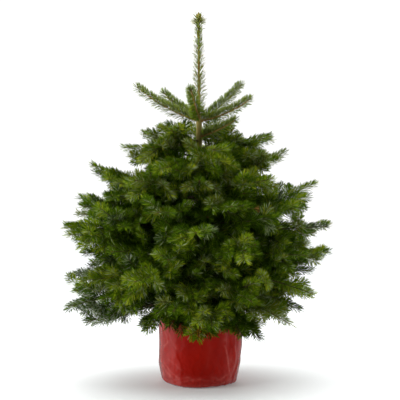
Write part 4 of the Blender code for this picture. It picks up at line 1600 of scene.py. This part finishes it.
# The soil as (radius, height), how rough it is, and the crumbs on it
SOIL_PROFILE = ((0.0, 0.1893), (0.03, 0.1890), (0.07, 0.1868), (0.1035, 0.1838))
SOIL_RINGS = 30
SOIL_SIDES = 110
SOIL_ROUGHNESS = ((90, 0.0016), (260, 0.0010))
SOIL_EDGE_RINGS = 3
CRUMBS = 420
CRUMBS_WITHIN = 0.100
CRUMB_SIZE = (0.0015, 0.0048)
CRUMB_WIDTH = (0.5, 0.9)
CRUMB_HEIGHT = (0.35, 0.8)
CRUMB_SPREAD = 0.08
CRUMB_RISE = 0.15
CRUMB_TURN = 6.28
CRUMB_CORNERS = np.array(
    [(-1, -1, -1), (1, -1, -1), (1, 1, -1), (-1, 1, -1), (-1, -1, 1), (1, -1, 1), (1, 1, 1), (-1, 1, 1)]
) * 0.5
CRUMB_FACES = np.array([(0, 3, 2, 1), (4, 5, 6, 7), (0, 1, 5, 4), (1, 2, 6, 5), (2, 3, 7, 6), (3, 0, 4, 7)])


def soil_height(radius):
    """The height of the soil's surface at a distance from the trunk."""
    radii, heights = zip(*SOIL_PROFILE)
    return float(np.interp(radius, radii, heights))


def crumb(draw):
    """The corners of one crumb that lies on the soil."""
    radius = CRUMBS_WITHIN * math.sqrt(draw.random())
    angle = draw.random() * 2 * math.pi
    size = draw.uniform(*CRUMB_SIZE)
    turn = Matrix.Rotation(draw.random() * CRUMB_TURN, 3, "Z")
    turn = turn @ Matrix.Rotation(draw.random() * CRUMB_TURN, 3, "X")
    corners = CRUMB_CORNERS * np.array((1.0, draw.uniform(*CRUMB_WIDTH), draw.uniform(*CRUMB_HEIGHT))) * size
    corners = corners + draw.normal(0, size * CRUMB_SPREAD, corners.shape)
    height = soil_height(radius) + size * CRUMB_RISE
    return corners @ np.array(turn) + np.array((radius * math.cos(angle), radius * math.sin(angle), height))


def build_soil(material, draw):
    """Loose soil: a rough crowned surface with crumbs and chips on it."""
    points = [(0.0, 0.0, SOIL_PROFILE[0][1])]
    for k in range(1, SOIL_RINGS + 1):
        radius = SOIL_PROFILE[-1][0] * k / SOIL_RINGS
        level = min(1.0, (SOIL_RINGS - k) / SOIL_EDGE_RINGS)
        for a in range(SOIL_SIDES):
            angle = a * 2 * math.pi / SOIL_SIDES
            x, y = radius * math.cos(angle), radius * math.sin(angle)
            rough = sum(noise.noise(Vector((x, y, 0.0)) * scale) * depth for scale, depth in SOIL_ROUGHNESS)
            points.append((x, y, soil_height(radius) + rough * level))
    crumbs = [crumb(draw) for _ in range(CRUMBS)]
    offsets = len(points) + np.arange(CRUMBS) * len(CRUMB_CORNERS)
    crumb_faces = [CRUMB_FACES + offset for offset in offsets]
    quads = np.concatenate([1 + ring_quads(SOIL_RINGS, SOIL_SIDES), *crumb_faces])
    mesh = new_mesh("soil_surface", np.concatenate([points, *crumbs]), [quads, fan(0, 1, SOIL_SIDES)])
    place("soil_surface", mesh, [material], "soil", "soil")


# Setting

# Each softbox: its place, what it points at, its size, its power, and whether reflections show it
SOFTBOXES = {
    "left_softbox": ((-2.3, -0.9, 0.9), (0.0, 0.0, 0.45), (1.3, 1.9), 50.0, False),
    "right_softbox": ((2.4, -0.2, 0.9), (0.0, 0.0, 0.45), (1.0, 1.9), 20.0, False),
    "back_softbox": ((0.4, 2.5, 1.4), (0.0, 0.0, 0.5), (1.8, 1.4), 20.0, True),
}
SKY_POWER = 3.3
SKY_SPREAD = 78.0
SKY_TILT = (-0.10, -0.04, 0.0)
FLOOR_REACH = 9.0
FLOOR_DEPTH = 0.0004
FLOOR_COLOUR = (0.79, 0.81, 0.81)
FLOOR_GLOW = 0.10
WHITE = (1.0, 1.0, 1.0, 1.0)
BACKDROP = 1.1
GLOW = (1.4, 1.4, 1.4, 1.0)
SIDE_GLOW = ((0.0, 0.70), (0.04, 0.34), (0.15, 0.07), (0.35, 0.03), (0.65, 0.03), (0.85, 0.06), (0.95, 0.12))
BACK_GLOW = ((0.0, 0.0), (0.5, 0.04), (1.0, 0.30))
CAMERA_PLACE = (-0.002, -VIEW_DISTANCE, VIEW_HEIGHT)
CAMERA_LENS = 80.36
SENSOR_WIDTH = 36.0
CAMERA_CLIP = (0.05, 60.0)


def add_object(name, data):
    made = bpy.data.objects.new(name, data)
    bpy.context.scene.collection.objects.link(made)
    return made


def add_softbox(name, location, target, size, power, mirrored):
    light = bpy.data.lights.new(name, "AREA")
    light.shape = "RECTANGLE"
    light.size, light.size_y = size
    light.energy = power
    lamp = add_object(name, light)
    lamp.location = location
    lamp.rotation_euler = (Vector(target) - Vector(location)).to_track_quat("-Z", "Y").to_euler()
    lamp.visible_camera = False
    lamp.visible_glossy = mirrored


def add_sky_light():
    """A broad even light from above. Its spread softens the shadow under the crown."""
    light = bpy.data.lights.new("overhead", "SUN")
    light.energy = SKY_POWER
    light.angle = math.radians(SKY_SPREAD)
    add_object("overhead", light).rotation_euler = SKY_TILT


def build_floor():
    """A plain pale floor just under the film."""
    mesh = bpy.data.meshes.new("floor")
    signs = ((-1, -1), (1, -1), (1, 1), (-1, 1))
    corners = [(x * FLOOR_REACH, y * FLOOR_REACH, -FLOOR_DEPTH) for x, y in signs]
    mesh.from_pydata(corners, [], [(0, 1, 2, 3)])
    material, _, shader = new_material("floor", FLOOR_COLOUR, roughness=0.75)
    shader.inputs["Specular IOR Level"].default_value = 0.2
    shader.inputs["Emission Color"].default_value = WHITE
    shader.inputs["Emission Strength"].default_value = FLOOR_GLOW
    mesh.materials.append(material)
    floor = add_object("floor", mesh)
    floor.visible_glossy = False
    floor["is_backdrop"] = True


def build_world():
    """White behind everything. What it lights by is brightest on the left, and dark towards the camera."""
    world = bpy.data.worlds.new("studio")
    bpy.context.scene.world = world
    world.use_nodes = True
    tree = world.node_tree
    tree.nodes.clear()
    around = add_node(tree, "ShaderNodeTexCoord").outputs["Generated"]
    split = add_node(tree, "ShaderNodeSeparateXYZ", links={"Vector": around})
    levels = {}
    for index, (axis, glow) in enumerate((("X", SIDE_GLOW), ("Y", BACK_GLOW))):
        share = add_range(tree, split.outputs[axis], 0.0, 1.0, -1.0, 1.0)
        stops = [(position, (level, level, level)) for position, level in glow]
        levels[index] = add_ramp(tree, share, stops)
    total = add_node(tree, "ShaderNodeMath", links=levels, operation="ADD").outputs["Value"]
    lit = add_node(tree, "ShaderNodeBackground", {"Color": GLOW}, {"Strength": total}).outputs["Background"]
    backdrop = {"Color": WHITE, "Strength": BACKDROP}
    seen = add_node(tree, "ShaderNodeBackground", backdrop).outputs["Background"]
    from_camera = add_node(tree, "ShaderNodeLightPath").outputs["Is Camera Ray"]
    blend = add_node(tree, "ShaderNodeMixShader", links={"Fac": from_camera, 1: lit, 2: seen})
    add_node(tree, "ShaderNodeOutputWorld", links={"Surface": blend.outputs["Shader"]})


def build_camera():
    camera = bpy.data.cameras.new("camera")
    camera.sensor_width = SENSOR_WIDTH
    camera.lens = CAMERA_LENS
    camera.clip_start, camera.clip_end = CAMERA_CLIP
    placed = add_object("camera", camera)
    placed.location = CAMERA_PLACE
    placed.rotation_euler = (math.radians(90), 0.0, 0.0)
    bpy.context.scene.camera = placed


def build_setting():
    """The floor, the white surround, the camera and the lamps."""
    build_floor()
    build_world()
    build_camera()
    add_sky_light()
    for name, row in SOFTBOXES.items():
        add_softbox(name, *row)
    settings = bpy.context.scene.view_settings
    settings.view_transform = "Standard"
    settings.look = "None"


LEADER_SINK = 0.012


def leader_shoots():
    """The leader, and the short shoot at its tip that carries the star of needles."""
    along = TRUNK_TIP - TRUNK_FOOT
    across = Vector((0.0, 1.0, 0.0))
    foot = trunk_centre(LEADER_FOOT_HEIGHT - LEADER_SINK)
    leader = Shoot(Path(foot, along, across, (TRUNK_TIP - foot).length), 1, 0, 0, LEADER_BRUSH)
    leader.end += LEADER_END
    star_foot = leader.path.tip() - along.normalized() * STAR_DEPTH
    star = Shoot(Path(star_foot, along, across, STAR_DEPTH), 1, 0, 0, STAR_BRUSH)
    star.bare = 0.0
    star.density = STAR_DENSITY
    return leader, star


def needle_groups(shoots, leader, star):
    """Each piece of needles: its name, its shoots, the masses that it stands for, and their slot."""
    groups = [("needles_leader", [leader, star], ["foliage_leader"], "young_needles")]
    for tier, (_, years, rows) in enumerate(TIERS):
        own = [shoot for shoot in shoots if shoot.tier == tier]
        slot_name = "young_needles" if years == 1 else "needles"
        masses = [(f"foliage_{tier + 1}{'abcdef'[k]}", row[0]) for k, row in enumerate(rows)]
        if years < SPLIT_YEARS:
            groups.append((f"needles_{tier + 1}", own, [name for name, _ in masses], slot_name))
            continue
        for side, low in (("back", 0), ("front", 180)):
            groups.append((
                f"needles_{tier + 1}_{side}",
                [shoot for shoot in own if low <= shoot.bearing < low + 180],
                [name for name, bearing in masses if low <= bearing < low + 180],
                slot_name,
            ))
    return groups


def main():
    shoots = all_shoots()
    leader, star = leader_shoots()
    build_needles(needle_groups(shoots, leader, star), needle_materials())
    barks = {name: bark_material(name) for name in BARKS}
    build_trunk([barks[name] for name in ("bark", "young_bark", "lower_leader_bark", "leader_bark")])
    limbs = [shoot for shoot in shoots if shoot.order == 0]
    twigs = [shoot for shoot in shoots if shoot.order > 0]
    boughs = [name for name in sorted(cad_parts) if name.startswith("bough_")]
    build_stems("bough_bark", limbs, bough_tube, 1, [barks["twig_bark"], barks["orange_bark"]], *boughs)
    build_stems("twigs", twigs, twig_tube, 2, [barks["bark"], barks["twig_bark"]])
    build_buds("buds", shoots, barks["bud_scales"], random.Random(SEED))
    build_buds("leader_buds", [leader], barks["fresh_scales"], random.Random(SEED))
    build_film(film_material())
    build_pot(plastic_material())
    build_soil(soil_material(), np.random.default_rng(SEED))
    build_setting()


main()
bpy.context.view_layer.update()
triangles = 0
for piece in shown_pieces():
    piece.data.calc_loop_triangles()
    triangles += len(piece.data.loop_triangles)
print("triangles", triangles)
